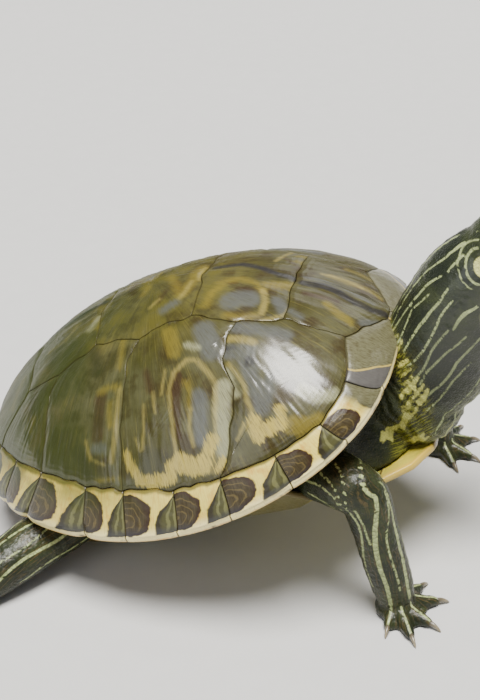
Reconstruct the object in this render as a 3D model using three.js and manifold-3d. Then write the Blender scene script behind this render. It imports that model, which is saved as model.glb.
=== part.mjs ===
// Red-eared slider turtle: a life-size still model, in millimetres.
// +X is the way the head points, +Y its left, +Z up, and the floor is z = 0.
// The shell is drawn level in its own frame, then pitched up at the front and set on the floor.
import * as THREE from "three";
import { mergeVertices } from "three/addons/utils/BufferGeometryUtils.js";
import Module from "manifold-3d";

const wasm = await Module();
wasm.setup();

// Driving sizes of the carapace: the rim is a superellipse round the shell's own origin.
const RIM_FRONT = 81;
const RIM_REAR = 99.5;
const RIM_HALF_WIDTH = 72;
const RIM_POWER_FRONT = 3;
const RIM_POWER_REAR = 1.95;
// Height of the rim at the flank, the front and the rear, and of the dome's top.
const RIM_RISE = { flank: -4.4, front: 15.8, rear: 8.2 };
const DOME_HEIGHT = 57.3;
// The dome falls off as a power of the cosine of the way out to the rim.
const DOME_POWER = { flank: 1.65, front: 1.6, rear: 1.49 };
const PLATE_THICKNESS = 2.6;
const GAP = 0.32;

// A plate's sheet has a ring of points this far in from its edge, and a marginal plate's top
// bends this far out from its seam.
const RING_IN = 0.45;
const MARGINAL_BEND = 0.55;
const NORMAL_STEP = 0.01;

// Seams across the back, along +X, with the half-width of the back plates at and between them.
const BACK_SEAMS = [50.6, 19, -21.6, -56.4];
const BACK_HALF_AT_SEAM = 24;
const BACK_HALF_BETWEEN = 27.4;
const BACK_CORNERS = [35, -2.5, -40];
// Seams between the marginal plates, in degrees round the rim from the front.
const MARGINAL_SEAMS = [3, 24, 40, 55.4, 72.5, 89, 105.5, 120, 142, 152, 162, 171.5, 180];
// Where each of those seams meets the back: degrees round, and how far out on the dome.
const INNER_SEAMS = [
  [2.2, 0.83],
  [30.2, 0.746],
  [42.3, 0.78],
  [55.4, 0.772],
  [70.9, 0.755],
  [86, 0.742],
  [103.2, 0.716],
  [117.2, 0.704],
  [134.7, 0.686],
  [147, 0.686],
  [158, 0.688],
  [169.5, 0.689],
  [180, 0.689],
];
// The first marginal plate reaches in to a corner between its two seams.
const FIRST_CORNER = [19.4, 0.66];
// Marginal seam that each seam between two side plates runs down to.
const SIDE_SEAM_ENDS = [4, 6, 8];
const LAST_SIDE_SEAM = 10;
// The rear marginal plates are notched at their seams.
const NOTCH_FROM = 6;
const NOTCH_DEPTH = 1.5;

// The underside of the rim, and the wall of flesh that it covers.
const RIM_KEEP_OUT_STEPS = 12;
const RIM_KEEP_OUT_GROW = 0.8;
const RIM_EDGE = 2.6;
const RIM_TUCK = 0.985;
const UNDERSIDE_END = 0.86;
const UNDERSIDE_DROP = 3.8;

// Plastron: a plate with two lobes and a bridge up to the rim on each side.
const PLASTRON_DEPTH = -27;
const PLASTRON_REAR_RISE = 7;
const PLASTRON_FRONT_DROP = 3.5;
const PLASTRON_THICKNESS = 3;
const PLASTRON_FLAT_HALF = 39;
const LOBE_LIFT = 1;
const BRIDGE_OUT = 0.84;

// The shell's stance.
const PITCH = THREE.MathUtils.degToRad(20);
const SHELL_RISE = 47.3;

const clamp = THREE.MathUtils.clamp;
const lerp = THREE.MathUtils.lerp;
const rad = THREE.MathUtils.degToRad;
const vec = (x, y, z) => new THREE.Vector3(x, y, z);
const vec2 = (x, y) => new THREE.Vector2(x, y);

// ---- Surfaces of the shell, in its own frame ----

// A named trio of values, blended round the shell by the way each place faces.
function blend(trio, angle) {
  const forward = Math.cos(angle);
  const end = forward > 0 ? trio.front : trio.rear;
  return lerp(trio.flank, end, forward * forward);
}

function rimRadius(angle) {
  const ahead = Math.cos(angle) > 0;
  const length = ahead ? RIM_FRONT : RIM_REAR;
  const power = ahead ? RIM_POWER_FRONT : RIM_POWER_REAR;
  const along = Math.abs(Math.cos(angle) / length) ** power;
  const across = Math.abs(Math.sin(angle) / RIM_HALF_WIDTH) ** power;
  return (along + across) ** (-1 / power);
}

// The dome, from a place given as (how far out, which way), sunk by some depth.
function dome(out, angle, depth = 0) {
  const turn = (out * Math.PI) / 2;
  const rise = blend(RIM_RISE, angle);
  const height = rise + (DOME_HEIGHT - rise) * Math.max(Math.cos(turn), 0) ** blend(DOME_POWER, angle);
  const reach = rimRadius(angle) * Math.sin(turn);
  const point = vec(reach * Math.cos(angle), -reach * Math.sin(angle), height);
  return depth === 0 ? point : point.addScaledVector(domeNormal(out, angle), -depth);
}

function domeNormal(out, angle) {
  const step = NORMAL_STEP;
  const east = placeOf(out, angle).add(new THREE.Vector2(step, 0));
  const west = placeOf(out, angle).add(new THREE.Vector2(-step, 0));
  const north = placeOf(out, angle).add(new THREE.Vector2(0, step));
  const south = placeOf(out, angle).add(new THREE.Vector2(0, -step));
  const across = domeAt(east).sub(domeAt(west));
  const along = domeAt(north).sub(domeAt(south));
  return along.cross(across).normalize();
}

// Flat map of the dome: distance from its middle is how far out, and the angle is the way.
const placeOf = (out, angle) => new THREE.Vector2(out * Math.cos(angle), out * Math.sin(angle));
const domeAt = (place, depth = 0) => dome(Math.min(place.length(), 1), Math.atan2(place.y, place.x), depth);

function placeOfPlan(x, y) {
  const angle = Math.atan2(-y, x);
  const out = Math.asin(Math.min(Math.hypot(x, y) / rimRadius(angle), 1)) / (Math.PI / 2);
  return placeOf(out, angle);
}

// ---- Closed solids from rows of points ----

function closedGeometry(triangles) {
  const geometry = new THREE.BufferGeometry().setFromPoints(triangles);
  return mergeVertices(geometry, 1e-4);
}

const triangle = (list, a, b, c) => list.push(a, b, c);

function quad(list, a, b, c, d) {
  triangle(list, a, b, c);
  triangle(list, a, c, d);
}

// Rows of points round a tube, joined row to row and closed by a fan at each end.
function tubeGeometry(rings) {
  const list = [];
  const count = rings[0].length;
  for (let row = 0; row < rings.length - 1; row++) {
    for (let k = 0; k < count; k++) {
      const next = (k + 1) % count;
      quad(list, rings[row][k], rings[row][next], rings[row + 1][next], rings[row + 1][k]);
    }
  }
  for (const [ring, flip] of [[rings[0], true], [rings.at(-1), false]]) {
    const middle = ring.reduce((sum, point) => sum.add(point), vec(0, 0, 0)).divideScalar(count);
    for (let k = 0; k < count; k++) {
      const next = (k + 1) % count;
      triangle(list, middle, ring[flip ? next : k], ring[flip ? k : next]);
    }
  }
  return closedGeometry(list);
}

// ---- Plates of the back, each from its outline on the flat map ----

const LAST_SEAM = MARGINAL_SEAMS.length - 1;
const between = (a, b, part) => a.clone().lerp(b, part);
const innerSeam = ([degrees, out]) => placeOf(out, rad(degrees));

// Inner places of the marginal plates on the right, at each seam and halfway between seams.
const innerPlaces = INNER_SEAMS.flatMap((row, seam) => {
  const here = innerSeam(row);
  if (seam === LAST_SEAM) {
    return [here];
  }
  const halfway = seam === 0 ? innerSeam(FIRST_CORNER) : between(here, innerSeam(INNER_SEAMS[seam + 1]), 0.5);
  return [here, halfway];
});

// A seam number may fall between two seams. The side is 1 on the right and -1 on the left.
function innerPlace(seam, side = 1) {
  const low = Math.min(Math.floor(seam * 2), innerPlaces.length - 2);
  const place = between(innerPlaces[low], innerPlaces[low + 1], seam * 2 - low);
  return place.set(place.x, side * place.y);
}

function rimAngle(seam) {
  const low = Math.min(Math.floor(seam), LAST_SEAM - 1);
  return rad(lerp(MARGINAL_SEAMS[low], MARGINAL_SEAMS[low + 1], seam - low));
}

const backPlace = (x, half, side) => placeOfPlan(x, -side * half);

function backSeamEnd(seam, side) {
  return backPlace(BACK_SEAMS[seam], BACK_HALF_AT_SEAM, side);
}

function backCorner(index, side) {
  return backPlace(BACK_CORNERS[index], BACK_HALF_BETWEEN, side);
}

// Places along one side of back plate 1 to 5, from front to rear.
function backSide(plate, side) {
  if (plate === 1) {
    const front = innerPlace(0.5, side);
    const rear = backSeamEnd(0, side);
    return [front, between(front, rear, 0.5), rear];
  }
  if (plate === 5) {
    const front = backSeamEnd(3, side);
    const rear = innerPlace(LAST_SIDE_SEAM, side);
    return [front, between(front, rear, 0.5), rear];
  }
  return [backSeamEnd(plate - 2, side), backCorner(plate - 2, side), backSeamEnd(plate - 1, side)];
}

const onKeel = (x) => placeOfPlan(x, 0);

function backOutline(plate) {
  const right = backSide(plate, 1);
  const left = backSide(plate, -1).reverse();
  const rear = [];
  const front = [];
  if (plate === 5) {
    for (const side of [1, -1]) {
      const run = [innerPlace(10.5, side), innerPlace(11, side), innerPlace(11.5, side)];
      rear.push(...(side === 1 ? run : [innerPlace(LAST_SEAM), ...run.reverse()]));
    }
  } else {
    rear.push(onKeel(BACK_SEAMS[plate - 1]));
  }
  if (plate === 1) {
    front.push(innerPlace(0, -1), innerPlace(0, 1));
  } else {
    front.push(onKeel(BACK_SEAMS[plate - 2]));
  }
  return [...right, ...rear, ...left, ...front];
}

// Places down the seam in front of side plate 1 to 4, and behind plate 4.
function sideSeam(index, side) {
  if (index === 0) {
    return [backSide(1, side)[0]];
  }
  if (index === 4) {
    return [backSide(5, side)[2]];
  }
  const top = backCorner(index - 1, side);
  const foot = innerPlace(SIDE_SEAM_ENDS[index - 1], side);
  return [0, 1 / 3, 2 / 3, 1].map((part) => between(top, foot, part));
}

// Places along the marginal plates between two seams, given as seam numbers that may end in a half.
function marginalRun(from, to, side) {
  const run = [];
  for (let half = Math.round(from * 2); half <= Math.round(to * 2); half++) {
    run.push(innerPlace(half / 2, side));
  }
  return run;
}

function sideOutline(plate, side) {
  const ends = [0.5, ...SIDE_SEAM_ENDS, LAST_SIDE_SEAM];
  const top = [];
  if (plate === 1) {
    top.push(...backSide(1, side), backCorner(0, side));
  } else if (plate === 4) {
    top.push(backCorner(2, side), ...backSide(5, side));
  } else {
    top.push(backCorner(plate - 2, side), backSeamEnd(plate - 1, side), backCorner(plate - 1, side));
  }
  const rear = sideSeam(plate, side).slice(1, -1);
  const foot = marginalRun(ends[plate - 1], ends[plate], side).reverse();
  const front = sideSeam(plate - 1, side).slice(1, -1).reverse();
  const footEnd = plate === 4 ? foot.slice(1) : foot;
  const footStart = plate === 1 ? footEnd.slice(0, -1) : footEnd;
  const outline = [...top, ...rear, ...footStart, ...front];
  return side === 1 ? outline : outline.reverse();
}

const cross2 = (a, b) => a.x * b.y - a.y * b.x;

// An outline turned so that it runs anticlockwise seen from outside the dome.
function turned(outline) {
  const area = outline.reduce((sum, place, k) => sum + cross2(place, outline[(k + 1) % outline.length]), 0);
  return area < 0 ? outline : outline.slice().reverse();
}

// Points of a plate's outline on the dome, drawn in from the seam by half a gap.
function drawnIn(outline, depth, inset) {
  const points = outline.map((place) => domeAt(place, depth));
  const count = points.length;
  return points.map((point, k) => {
    const place = outline[k];
    const normal = domeNormal(place.length(), Math.atan2(place.y, place.x));
    const before = point.clone().sub(points[(k + count - 1) % count]).normalize();
    const after = points[(k + 1) % count].clone().sub(point).normalize();
    const inBefore = normal.clone().cross(before);
    const inAfter = normal.clone().cross(after);
    const shift = inBefore.add(inAfter).multiplyScalar(inset / Math.max(1 + inBefore.dot(inAfter), 0.6));
    return point.clone().add(shift);
  });
}

// One sheet of a plate: its outline, a ring halfway in and a middle point.
function plateSheet(outline, depth, inset) {
  const edge = drawnIn(outline, depth, inset);
  const middle = outline.reduce((sum, place) => sum.add(place), new THREE.Vector2()).divideScalar(outline.length);
  const ring = outline.map((place) => domeAt(between(place, middle, RING_IN), depth));
  return { edge, ring, centre: domeAt(middle, depth) };
}

function sheetTriangles(list, sheet, facingOut) {
  const count = sheet.edge.length;
  const add = facingOut ? (a, b, c) => triangle(list, a, b, c) : (a, b, c) => triangle(list, a, c, b);
  for (let k = 0; k < count; k++) {
    const next = (k + 1) % count;
    add(sheet.edge[k], sheet.edge[next], sheet.ring[next]);
    add(sheet.edge[k], sheet.ring[next], sheet.ring[k]);
    add(sheet.ring[k], sheet.ring[next], sheet.centre);
  }
}

function plateGeometry(outline) {
  const round = turned(outline);
  const list = [];
  const outer = plateSheet(round, 0, GAP / 2);
  const inner = plateSheet(round, PLATE_THICKNESS, GAP / 2);
  sheetTriangles(list, outer, true);
  sheetTriangles(list, inner, false);
  for (let k = 0; k < round.length; k++) {
    const next = (k + 1) % round.length;
    quad(list, outer.edge[k], inner.edge[k], inner.edge[next], outer.edge[next]);
  }
  return closedGeometry(list);
}

// ---- Marginal plates: wedges swept round the rim ----

// Depth of the notch in the rim at each rear seam.
const notchAt = (seam) => (Number.isInteger(seam) && seam > NOTCH_FROM && seam < LAST_SEAM ? NOTCH_DEPTH : 0);

// A point under the rim, some part of the way out and some way below the rim's edge.
function underRim(angle, part, drop) {
  const reach = rimRadius(angle) * part;
  return vec(reach * Math.cos(angle), -reach * Math.sin(angle), blend(RIM_RISE, angle) - drop);
}

// A section across the rim, from an inner place on the dome to an angle on the rim, shifted
// along the rim clear of the seam.
function rimSection(inner, angle, shift, notchDepth) {
  const start = inner.length();
  const rimTurn = angle + shift / rimRadius(angle);
  const innerTurn = Math.atan2(inner.y, inner.x) + shift / (rimRadius(angle) * Math.sin((start * Math.PI) / 2));
  const inset = GAP / 2 / rimRadius(rimTurn);
  const outward = vec(Math.cos(rimTurn), -Math.sin(rimTurn), 0);
  const notch = outward.multiplyScalar(-notchDepth);
  return [
    dome(start + inset, innerTurn),
    dome(lerp(start, 1, MARGINAL_BEND), lerp(innerTurn, rimTurn, MARGINAL_BEND)),
    dome(1, rimTurn).add(notch),
    underRim(rimTurn, RIM_TUCK, RIM_EDGE).add(notch),
    underRim(rimTurn, UNDERSIDE_END, UNDERSIDE_DROP),
    dome(start, innerTurn, PLATE_THICKNESS),
  ];
}

const seamSection = (seam, shift) => rimSection(innerPlace(seam), rimAngle(seam), shift, notchAt(seam));
const frontSection = () => rimSection(vec2(INNER_SEAMS[0][1], 0), 0, 0, 0);
const mirrored = (point) => vec(point.x, -point.y, point.z);
const mirroredSection = (section) => section.map(mirrored);

// Marginal plate 1 to 12, between the seams before and after it.
function marginalGeometry(plate, side) {
  const rings = [
    seamSection(plate - 1, GAP / 2),
    seamSection(plate - 0.5, 0),
    seamSection(plate, -GAP / 2),
  ];
  return tubeGeometry(side === 1 ? rings.reverse() : rings.map(mirroredSection));
}

function nuchalGeometry() {
  const right = seamSection(0, -GAP / 2);
  return tubeGeometry([right, frontSection(), mirroredSection(right)]);
}

// All marginal plates on one stretch of rim as one body, swollen by the gap. It runs over the
// front or rear, from a seam number on one side to the same one on the other.
function rimKeepOut(seam, overFront) {
  const end = overFront ? 0 : LAST_SEAM;
  const half = [];
  for (let k = 0; k <= RIM_KEEP_OUT_STEPS; k++) {
    half.push(seamSection(lerp(seam, end, k / RIM_KEEP_OUT_STEPS), 0));
  }
  const other = half.slice(0, overFront ? undefined : -1).reverse().map(mirroredSection);
  const rings = overFront ? [...half, frontSection(), ...other] : [...half, ...other].reverse();
  return tubeGeometry(rings.map((section) => {
    const middle = section.reduce((sum, point) => sum.add(point), vec(0, 0, 0)).divideScalar(section.length);
    return section.map((point) => {
      const outward = point.clone().sub(middle).normalize();
      return point.clone().addScaledVector(outward, RIM_KEEP_OUT_GROW);
    });
  }));
}

// ---- Plastron: slabs from rows of points, each row one place along the shell ----

const BRIDGE = "bridge";
// Each row is its place and the half-width there, from front to rear.
const PLASTRON_ROWS = {
  gular: [[80, 15], [73, 26], [62, 33]],
  humeral: [[62, 33], [52, 37], [42, 39]],
  pectoral: [[42, 39], [32, BRIDGE], [13, BRIDGE]],
  abdominal: [[13, BRIDGE], [-8, BRIDGE], [-27, BRIDGE], [-35, 41]],
  femoral: [[-35, 41], [-47, 41], [-58, 39]],
  anal: [[-58, 39], [-70, 32], [-79, 21]],
};
const LOBE_FLAT_PART = 0.75;

function plastronLevel(x) {
  const back = clamp(-x / RIM_REAR, 0, 1);
  const ahead = clamp(x / RIM_FRONT, 0, 1);
  return PLASTRON_DEPTH + PLASTRON_REAR_RISE * back ** 1.5 - PLASTRON_FRONT_DROP * ahead ** 1.5;
}

// The bridge ends just inside the rim's underside.
function bridgeEdge(x) {
  let angle = Math.PI / 2;
  for (let pass = 0; pass < 20; pass++) {
    angle = Math.acos(x / (BRIDGE_OUT * rimRadius(angle)));
  }
  return underRim(angle, BRIDGE_OUT, UNDERSIDE_DROP);
}

function plastronRow(x, half, lift) {
  const bridging = half === BRIDGE;
  const level = plastronLevel(x) + lift;
  const flat = bridging ? PLASTRON_FLAT_HALF : half * LOBE_FLAT_PART;
  const edge = bridging ? bridgeEdge(x) : vec(x, -half, level + LOBE_LIFT);
  const outer = vec(x, edge.y, bridging ? edge.z + lift : edge.z);
  const right = [outer, vec(x, -flat, level), vec(x, -flat / 2, level)];
  return [...right, vec(x, 0, level), ...right.map(mirrored).reverse()];
}

// A closed slab between two like grids of points; rows run rearwards and points run leftwards.
function slabGeometry(lower, upper) {
  const list = [];
  const rows = lower.length;
  const columns = lower[0].length;
  for (let row = 0; row < rows - 1; row++) {
    for (let k = 0; k < columns - 1; k++) {
      quad(list, upper[row][k], upper[row][k + 1], upper[row + 1][k + 1], upper[row + 1][k]);
      quad(list, lower[row][k], lower[row + 1][k], lower[row + 1][k + 1], lower[row][k + 1]);
    }
    quad(list, upper[row][0], upper[row + 1][0], lower[row + 1][0], lower[row][0]);
    const last = columns - 1;
    quad(list, upper[row][last], lower[row][last], lower[row + 1][last], upper[row + 1][last]);
  }
  for (let k = 0; k < columns - 1; k++) {
    quad(list, upper[0][k], lower[0][k], lower[0][k + 1], upper[0][k + 1]);
    const end = rows - 1;
    quad(list, upper[end][k], upper[end][k + 1], lower[end][k + 1], lower[end][k]);
  }
  return closedGeometry(list);
}

function plastronGeometry(rows) {
  const lower = [];
  const upper = [];
  rows.forEach(([x, half], k) => {
    const inset = k === 0 ? -GAP / 2 : k === rows.length - 1 ? GAP / 2 : 0;
    lower.push(plastronRow(x + inset, half, 0));
    upper.push(plastronRow(x + inset, half, PLASTRON_THICKNESS));
  });
  return slabGeometry(lower, upper);
}

// ---- Trunk: the flesh that fills the shell, its back following the plates' inner faces ----

const SKIN_REACH = 0.93;
const LOBE_REACH_FRONT = 73;
const LOBE_REACH_REAR = 74;
const LOBE_REACH_SIDE = 36;
const LOBE_POWER = 3.2;
const WALL_LIFT = 0.8;
const BRIDGE_FROM = 60;
const BRIDGE_TO = 112;

// Where the wall of flesh meets the plastron, some way round the shell.
function wallFoot(angle, grow) {
  const length = Math.cos(angle) > 0 ? LOBE_REACH_FRONT : LOBE_REACH_REAR;
  const along = Math.abs(Math.cos(angle) / length) ** LOBE_POWER;
  const across = Math.abs(Math.sin(angle) / LOBE_REACH_SIDE) ** LOBE_POWER;
  const reach = (along + across) ** (-1 / LOBE_POWER) + grow;
  const x = reach * Math.cos(angle);
  return vec(x, -reach * Math.sin(angle), plastronLevel(x) + PLASTRON_THICKNESS + WALL_LIFT);
}

// Where the wall of flesh meets the rim's underside, or the bridge's upper face.
function wallHead(angle, grow) {
  const degrees = THREE.MathUtils.radToDeg(Math.abs(angle));
  const bridging = degrees > BRIDGE_FROM && degrees < BRIDGE_TO;
  const part = bridging ? BRIDGE_OUT - 0.02 : UNDERSIDE_END - 0.005;
  const drop = bridging ? UNDERSIDE_DROP - PLASTRON_THICKNESS - WALL_LIFT : UNDERSIDE_DROP;
  return underRim(angle, part + grow / RIM_HALF_WIDTH, drop);
}

function trunkGeometry(grow) {
  const list = [];
  const depth = PLATE_THICKNESS + GAP - grow;
  for (const outline of backOutlines()) {
    sheetTriangles(list, plateSheet(turned(outline.places), depth, 0), true);
  }
  const right = innerPlaces.map((_, k) => ({ angle: rimAngle(k / 2), place: innerPlaces[k] }));
  const left = right.slice(0, -1).map(({ angle, place }) => ({ angle: -angle, place: vec2(place.x, -place.y) }));
  const round = [...right, ...left.reverse()];
  const angles = round.map(({ angle }) => angle);
  const top = round.map(({ place }) => domeAt(place, depth));
  const head = angles.map((angle) => wallHead(angle, grow));
  const foot = angles.map((angle) => wallFoot(angle, grow));
  const floorAt = (x) => plastronLevel(x) + PLASTRON_THICKNESS + WALL_LIFT;
  const inner = foot.map(({ x, y }) => vec(x / 2, y / 2, floorAt(x / 2)));
  const middle = vec(0, 0, floorAt(0));
  for (let k = 0; k < angles.length; k++) {
    const next = (k + 1) % angles.length;
    quad(list, top[k], top[next], head[next], head[k]);
    quad(list, head[k], head[next], foot[next], foot[k]);
    quad(list, foot[k], foot[next], inner[next], inner[k]);
    triangle(list, inner[k], inner[next], middle);
  }
  return closedGeometry(list);
}

// Every plate of the back that isn't a marginal, by node name.
function backOutlines() {
  const outlines = [];
  for (let plate = 1; plate <= 5; plate++) {
    outlines.push({ name: `carapace_vertebral_${plate}`, places: backOutline(plate) });
  }
  for (const [word, side] of [["right", 1], ["left", -1]]) {
    for (let plate = 1; plate <= 4; plate++) {
      outlines.push({ name: `carapace_pleural_${word}_${plate}`, places: sideOutline(plate, side) });
    }
  }
  return outlines;
}

const shellPose = new THREE.Matrix4().makeRotationY(-PITCH).setPosition(0, 0, SHELL_RISE);
const posed = (geometry) => geometry.applyMatrix4(shellPose);

// ---- Booleans ----

const MERGE_WITHIN = 0.02;

function solidOf(geometry) {
  const bare = geometry.clone();
  bare.deleteAttribute("normal");
  bare.deleteAttribute("uv");
  const merged = mergeVertices(bare, 1e-4);
  const vertProperties = merged.attributes.position.array;
  const triVerts = new Uint32Array(merged.index.array);
  return new wasm.Manifold(new wasm.Mesh({ numProp: 3, vertProperties, triVerts }));
}

// The largest body of a solid, without the slivers that a cut leaves.
function geometryOf(solid) {
  const bodies = solid.decompose();
  const largest = bodies.reduce((best, body) => (body.volume() > best.volume() ? body : best));
  const mesh = largest.getMesh();
  const geometry = new THREE.BufferGeometry();
  geometry.setAttribute("position", new THREE.BufferAttribute(new Float32Array(mesh.vertProperties), 3));
  geometry.setIndex(new THREE.BufferAttribute(new Uint32Array(mesh.triVerts), 1));
  return withoutSlivers(mergeVertices(geometry, MERGE_WITHIN));
}

// Faces that lost a corner when close points were merged are left out.
function withoutSlivers(geometry) {
  const corners = geometry.index.array;
  const kept = [];
  for (let k = 0; k < corners.length; k += 3) {
    const [a, b, c] = corners.slice(k, k + 3);
    if (a !== b && b !== c && c !== a) {
      kept.push(a, b, c);
    }
  }
  return geometry.setIndex(kept);
}

// All that lies on one side of a plane, as a large block whose face is on the plane.
function block(at, direction) {
  const size = 600;
  const geometry = new THREE.BoxGeometry(size, size, size);
  geometry.translate(0, 0, size / 2);
  const turn = new THREE.Quaternion().setFromUnitVectors(vec(0, 0, 1), direction.clone().normalize());
  geometry.applyQuaternion(turn).translate(at.x, at.y, at.z);
  return solidOf(geometry);
}

const aboveFloor = block(vec(0, 0, 0), vec(0, 0, 1));

// ---- Tubes of flesh ----

const TUBE_SIDES = 12;
const UPRIGHT_BELOW = 0.3;

// One ring of a tube: half-width sideways, half-height upwards and downwards, squarer as the power rises.
function ring(at, side, up, wide, high, low = high, power = 2, count = TUBE_SIDES) {
  const points = [];
  for (let k = 0; k < count; k++) {
    const turn = (-2 * Math.PI * k) / count;
    const across = Math.sign(Math.cos(turn)) * Math.abs(Math.cos(turn)) ** (2 / power);
    const along = Math.sign(Math.sin(turn)) * Math.abs(Math.sin(turn)) ** (2 / power);
    const lift = along > 0 ? along * high : along * low;
    points.push(at.clone().addScaledVector(side, across * wide).addScaledVector(up, lift));
  }
  return points;
}

// A tube through stations of (place, half-width, half-height), its sections square to its way.
function limbGeometry(stations, count = TUBE_SIDES) {
  const rings = stations.map(([at, wide, high], k) => {
    const before = stations[Math.max(k - 1, 0)][0];
    const after = stations[Math.min(k + 1, stations.length - 1)][0];
    const way = after.clone().sub(before).normalize();
    const side = way.clone().cross(vec(0, 0, 1));
    if (side.length() < UPRIGHT_BELOW) {
      side.set(0, -1, 0);
    }
    side.normalize();
    return ring(at, side, side.clone().cross(way), wide, high, high, 2, count);
  });
  return tubeGeometry(rings);
}

// ---- Feet: five toes fanned from the ankle, a web between them and a claw on each ----

// The outermost hind toe has no claw.
const FOREFOOT = { lengths: [19, 20, 19, 20, 15], spread: [62, 26, -22, -58, -92], toe: 2.3, web: 0.62, bare: 0 };
const HINDFOOT = { lengths: [22, 27, 29, 27, 21], spread: [-38, -18, 0, 18, 38], toe: 2.4, web: 0.86, bare: 1 };
// How far out from the ankle the knuckles and the web's notches lie.
const KNUCKLE_AT = 0.6;
const WEB_AT_TOE = 0.74;
const WEB_BEHIND = -0.12;
const TOE_ROOT_EXTRA = 1.2;
const CLAW_LENGTH = 5;
const CLAW_RADIUS = 1.1;
const WEB_THICKNESS = 1.6;
const ANKLE_LIFT = 4.5;
const PALM_RADIUS = 7.2;
const PALM_FLATNESS = 0.6;
const PALM_LIFT = 2.6;

function footSolid(foot, ankle, heading, side) {
  const tips = foot.spread.map((degrees, k) => {
    const turn = heading + rad(side * degrees);
    return vec(Math.cos(turn), Math.sin(turn), 0).multiplyScalar(foot.lengths[k]).add(vec(ankle.x, ankle.y, 0));
  });
  const start = vec(ankle.x, ankle.y, ANKLE_LIFT);
  const palm = new THREE.SphereGeometry(PALM_RADIUS, 10, 8).rotateX(Math.PI / 2);
  palm.scale(1, 1, PALM_FLATNESS).translate(start.x, start.y, PALM_LIFT);
  let solid = solidOf(webGeometry(foot, ankle, tips)).add(solidOf(palm));
  for (const [k, tip] of tips.entries()) {
    const way = tip.clone().sub(vec(ankle.x, ankle.y, 0)).normalize();
    const toeEnd = tip.clone().addScaledVector(way, -CLAW_LENGTH + 1);
    const knuckle = start.clone().lerp(toeEnd, KNUCKLE_AT).setZ(foot.toe);
    const toe = [
      [start, foot.toe + TOE_ROOT_EXTRA, foot.toe + TOE_ROOT_EXTRA],
      [knuckle, foot.toe, foot.toe],
      [toeEnd.clone().setZ(foot.toe * 0.8), foot.toe * 0.75, foot.toe * 0.8],
    ];
    const claw = [
      [toeEnd.clone().setZ(foot.toe * 0.9), CLAW_RADIUS, CLAW_RADIUS],
      [tip.clone().addScaledVector(way, -1.2).setZ(1.2), CLAW_RADIUS * 0.6, CLAW_RADIUS * 0.6],
      [tip.clone().setZ(0.45), 0.25, 0.25],
    ];
    solid = solid.add(solidOf(limbGeometry(toe, 7)));
    if (k >= foot.bare) {
      solid = solid.add(solidOf(limbGeometry(claw, 5)));
    }
  }
  return solid;
}

function webGeometry(foot, ankle, tips) {
  const centre = vec(ankle.x, ankle.y, 0);
  const edge = [centre.clone().lerp(tips[0], WEB_BEHIND)];
  tips.forEach((tip, k) => {
    edge.push(centre.clone().lerp(tip, WEB_AT_TOE));
    if (k < tips.length - 1) {
      edge.push(centre.clone().lerp(tip.clone().add(tips[k + 1]).divideScalar(2), foot.web));
    }
  });
  edge.push(centre.clone().lerp(tips.at(-1), WEB_BEHIND));
  const across = edge[1].clone().sub(edge[0]).cross(edge[2].clone().sub(edge[0])).z;
  const round = across > 0 ? edge : edge.reverse();
  const low = round.map((point) => point.clone().setZ(0));
  const high = round.map((point) => point.clone().setZ(WEB_THICKNESS));
  return tubeGeometry([low, high]);
}

// ---- The limbs, neck, head and tail, in the floor's frame ----

// The rim is kept clear from these seams to the front and to the rear.
const FRONT_KEEP_OUT_SEAM = 4.2;
const REAR_KEEP_OUT_SEAM = 5.7;

const joined = (geometries) =>
  geometries.map((geometry) => solidOf(posed(geometry))).reduce((sum, solid) => sum.add(solid));

// A solid joined with copies of itself moved a little each way, so that it covers a gap round itself.
function swollen(solid, gap) {
  let sum = solid;
  for (const axis of [0, 1, 2]) {
    for (const way of [gap, -gap]) {
      const move = [0, 0, 0];
      move[axis] = way;
      sum = sum.add(solid.translate(move));
    }
  }
  return sum;
}

// What the trunk keeps a gap to, and what the limbs, neck and tail do.
const wholePlastron = joined(Object.values(PLASTRON_ROWS).map(plastronGeometry));
const plastronKeepOut = swollen(wholePlastron, 1.5 * GAP);
const rimKeepOuts = [
  rimKeepOut(FRONT_KEEP_OUT_SEAM, true),
  rimKeepOut(REAR_KEEP_OUT_SEAM, false),
];
const keepOut = joined([trunkGeometry(GAP), ...rimKeepOuts]).add(plastronKeepOut);

// Stations are (along, right of the keel, up), half-width and half-height.
const FORELEG = [
  [[44, 34.5, 48], 11, 10],
  [[58, 47.5, 52.5], 9.8, 9.6],
  [[64, 49.5, 49.5], 8.6, 9],
  [[67.5, 50.5, 39], 7.8, 8.2],
  [[71, 51, 25], 7.6, 8],
  [[74, 51, 13], 6.8, 7.6],
  [[76, 51, 4.5], 5.6, 6.2],
];
const FORELEG_ANKLE = { x: 75, out: 51, heading: -4 };
const HINDLEG = [
  [[-40, 30, 22], 10, 8],
  [[-52, 43, 17.5], 10.5, 8],
  [[-62, 54, 14.5], 10.5, 8.6],
  [[-71, 65, 11], 9.4, 8],
  [[-78, 74, 7.4], 7.4, 6.2],
  [[-83, 79, 4.6], 6.2, 4.4],
];
const HINDLEG_ANKLE = { x: -80, out: 76, heading: -148 };
const TAIL = [
  [[-58, 0, 15], 10, 9],
  [[-70, 0, 13], 9, 8],
  [[-83, 0, 9.4], 6.8, 6.2],
  [[-95, 1, 5.6], 4.7, 4.5],
  [[-106, 3.5, 2.9], 3.1, 3],
  [[-115, 6.5, 1.6], 1.8, 1.7],
  [[-119, 8, 1.0], 0.8, 0.8],
];

// The left feet stand a little further forward than the right ones.
const LEFT_STEP = 5;

function stationsOf(rows, side) {
  return rows.map(([[x, y, z], wide, high], k) => {
    const step = side === 1 ? 0 : (LEFT_STEP * k) / (rows.length - 1);
    return [vec(x + step, -side * y, z), wide, high];
  });
}

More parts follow.
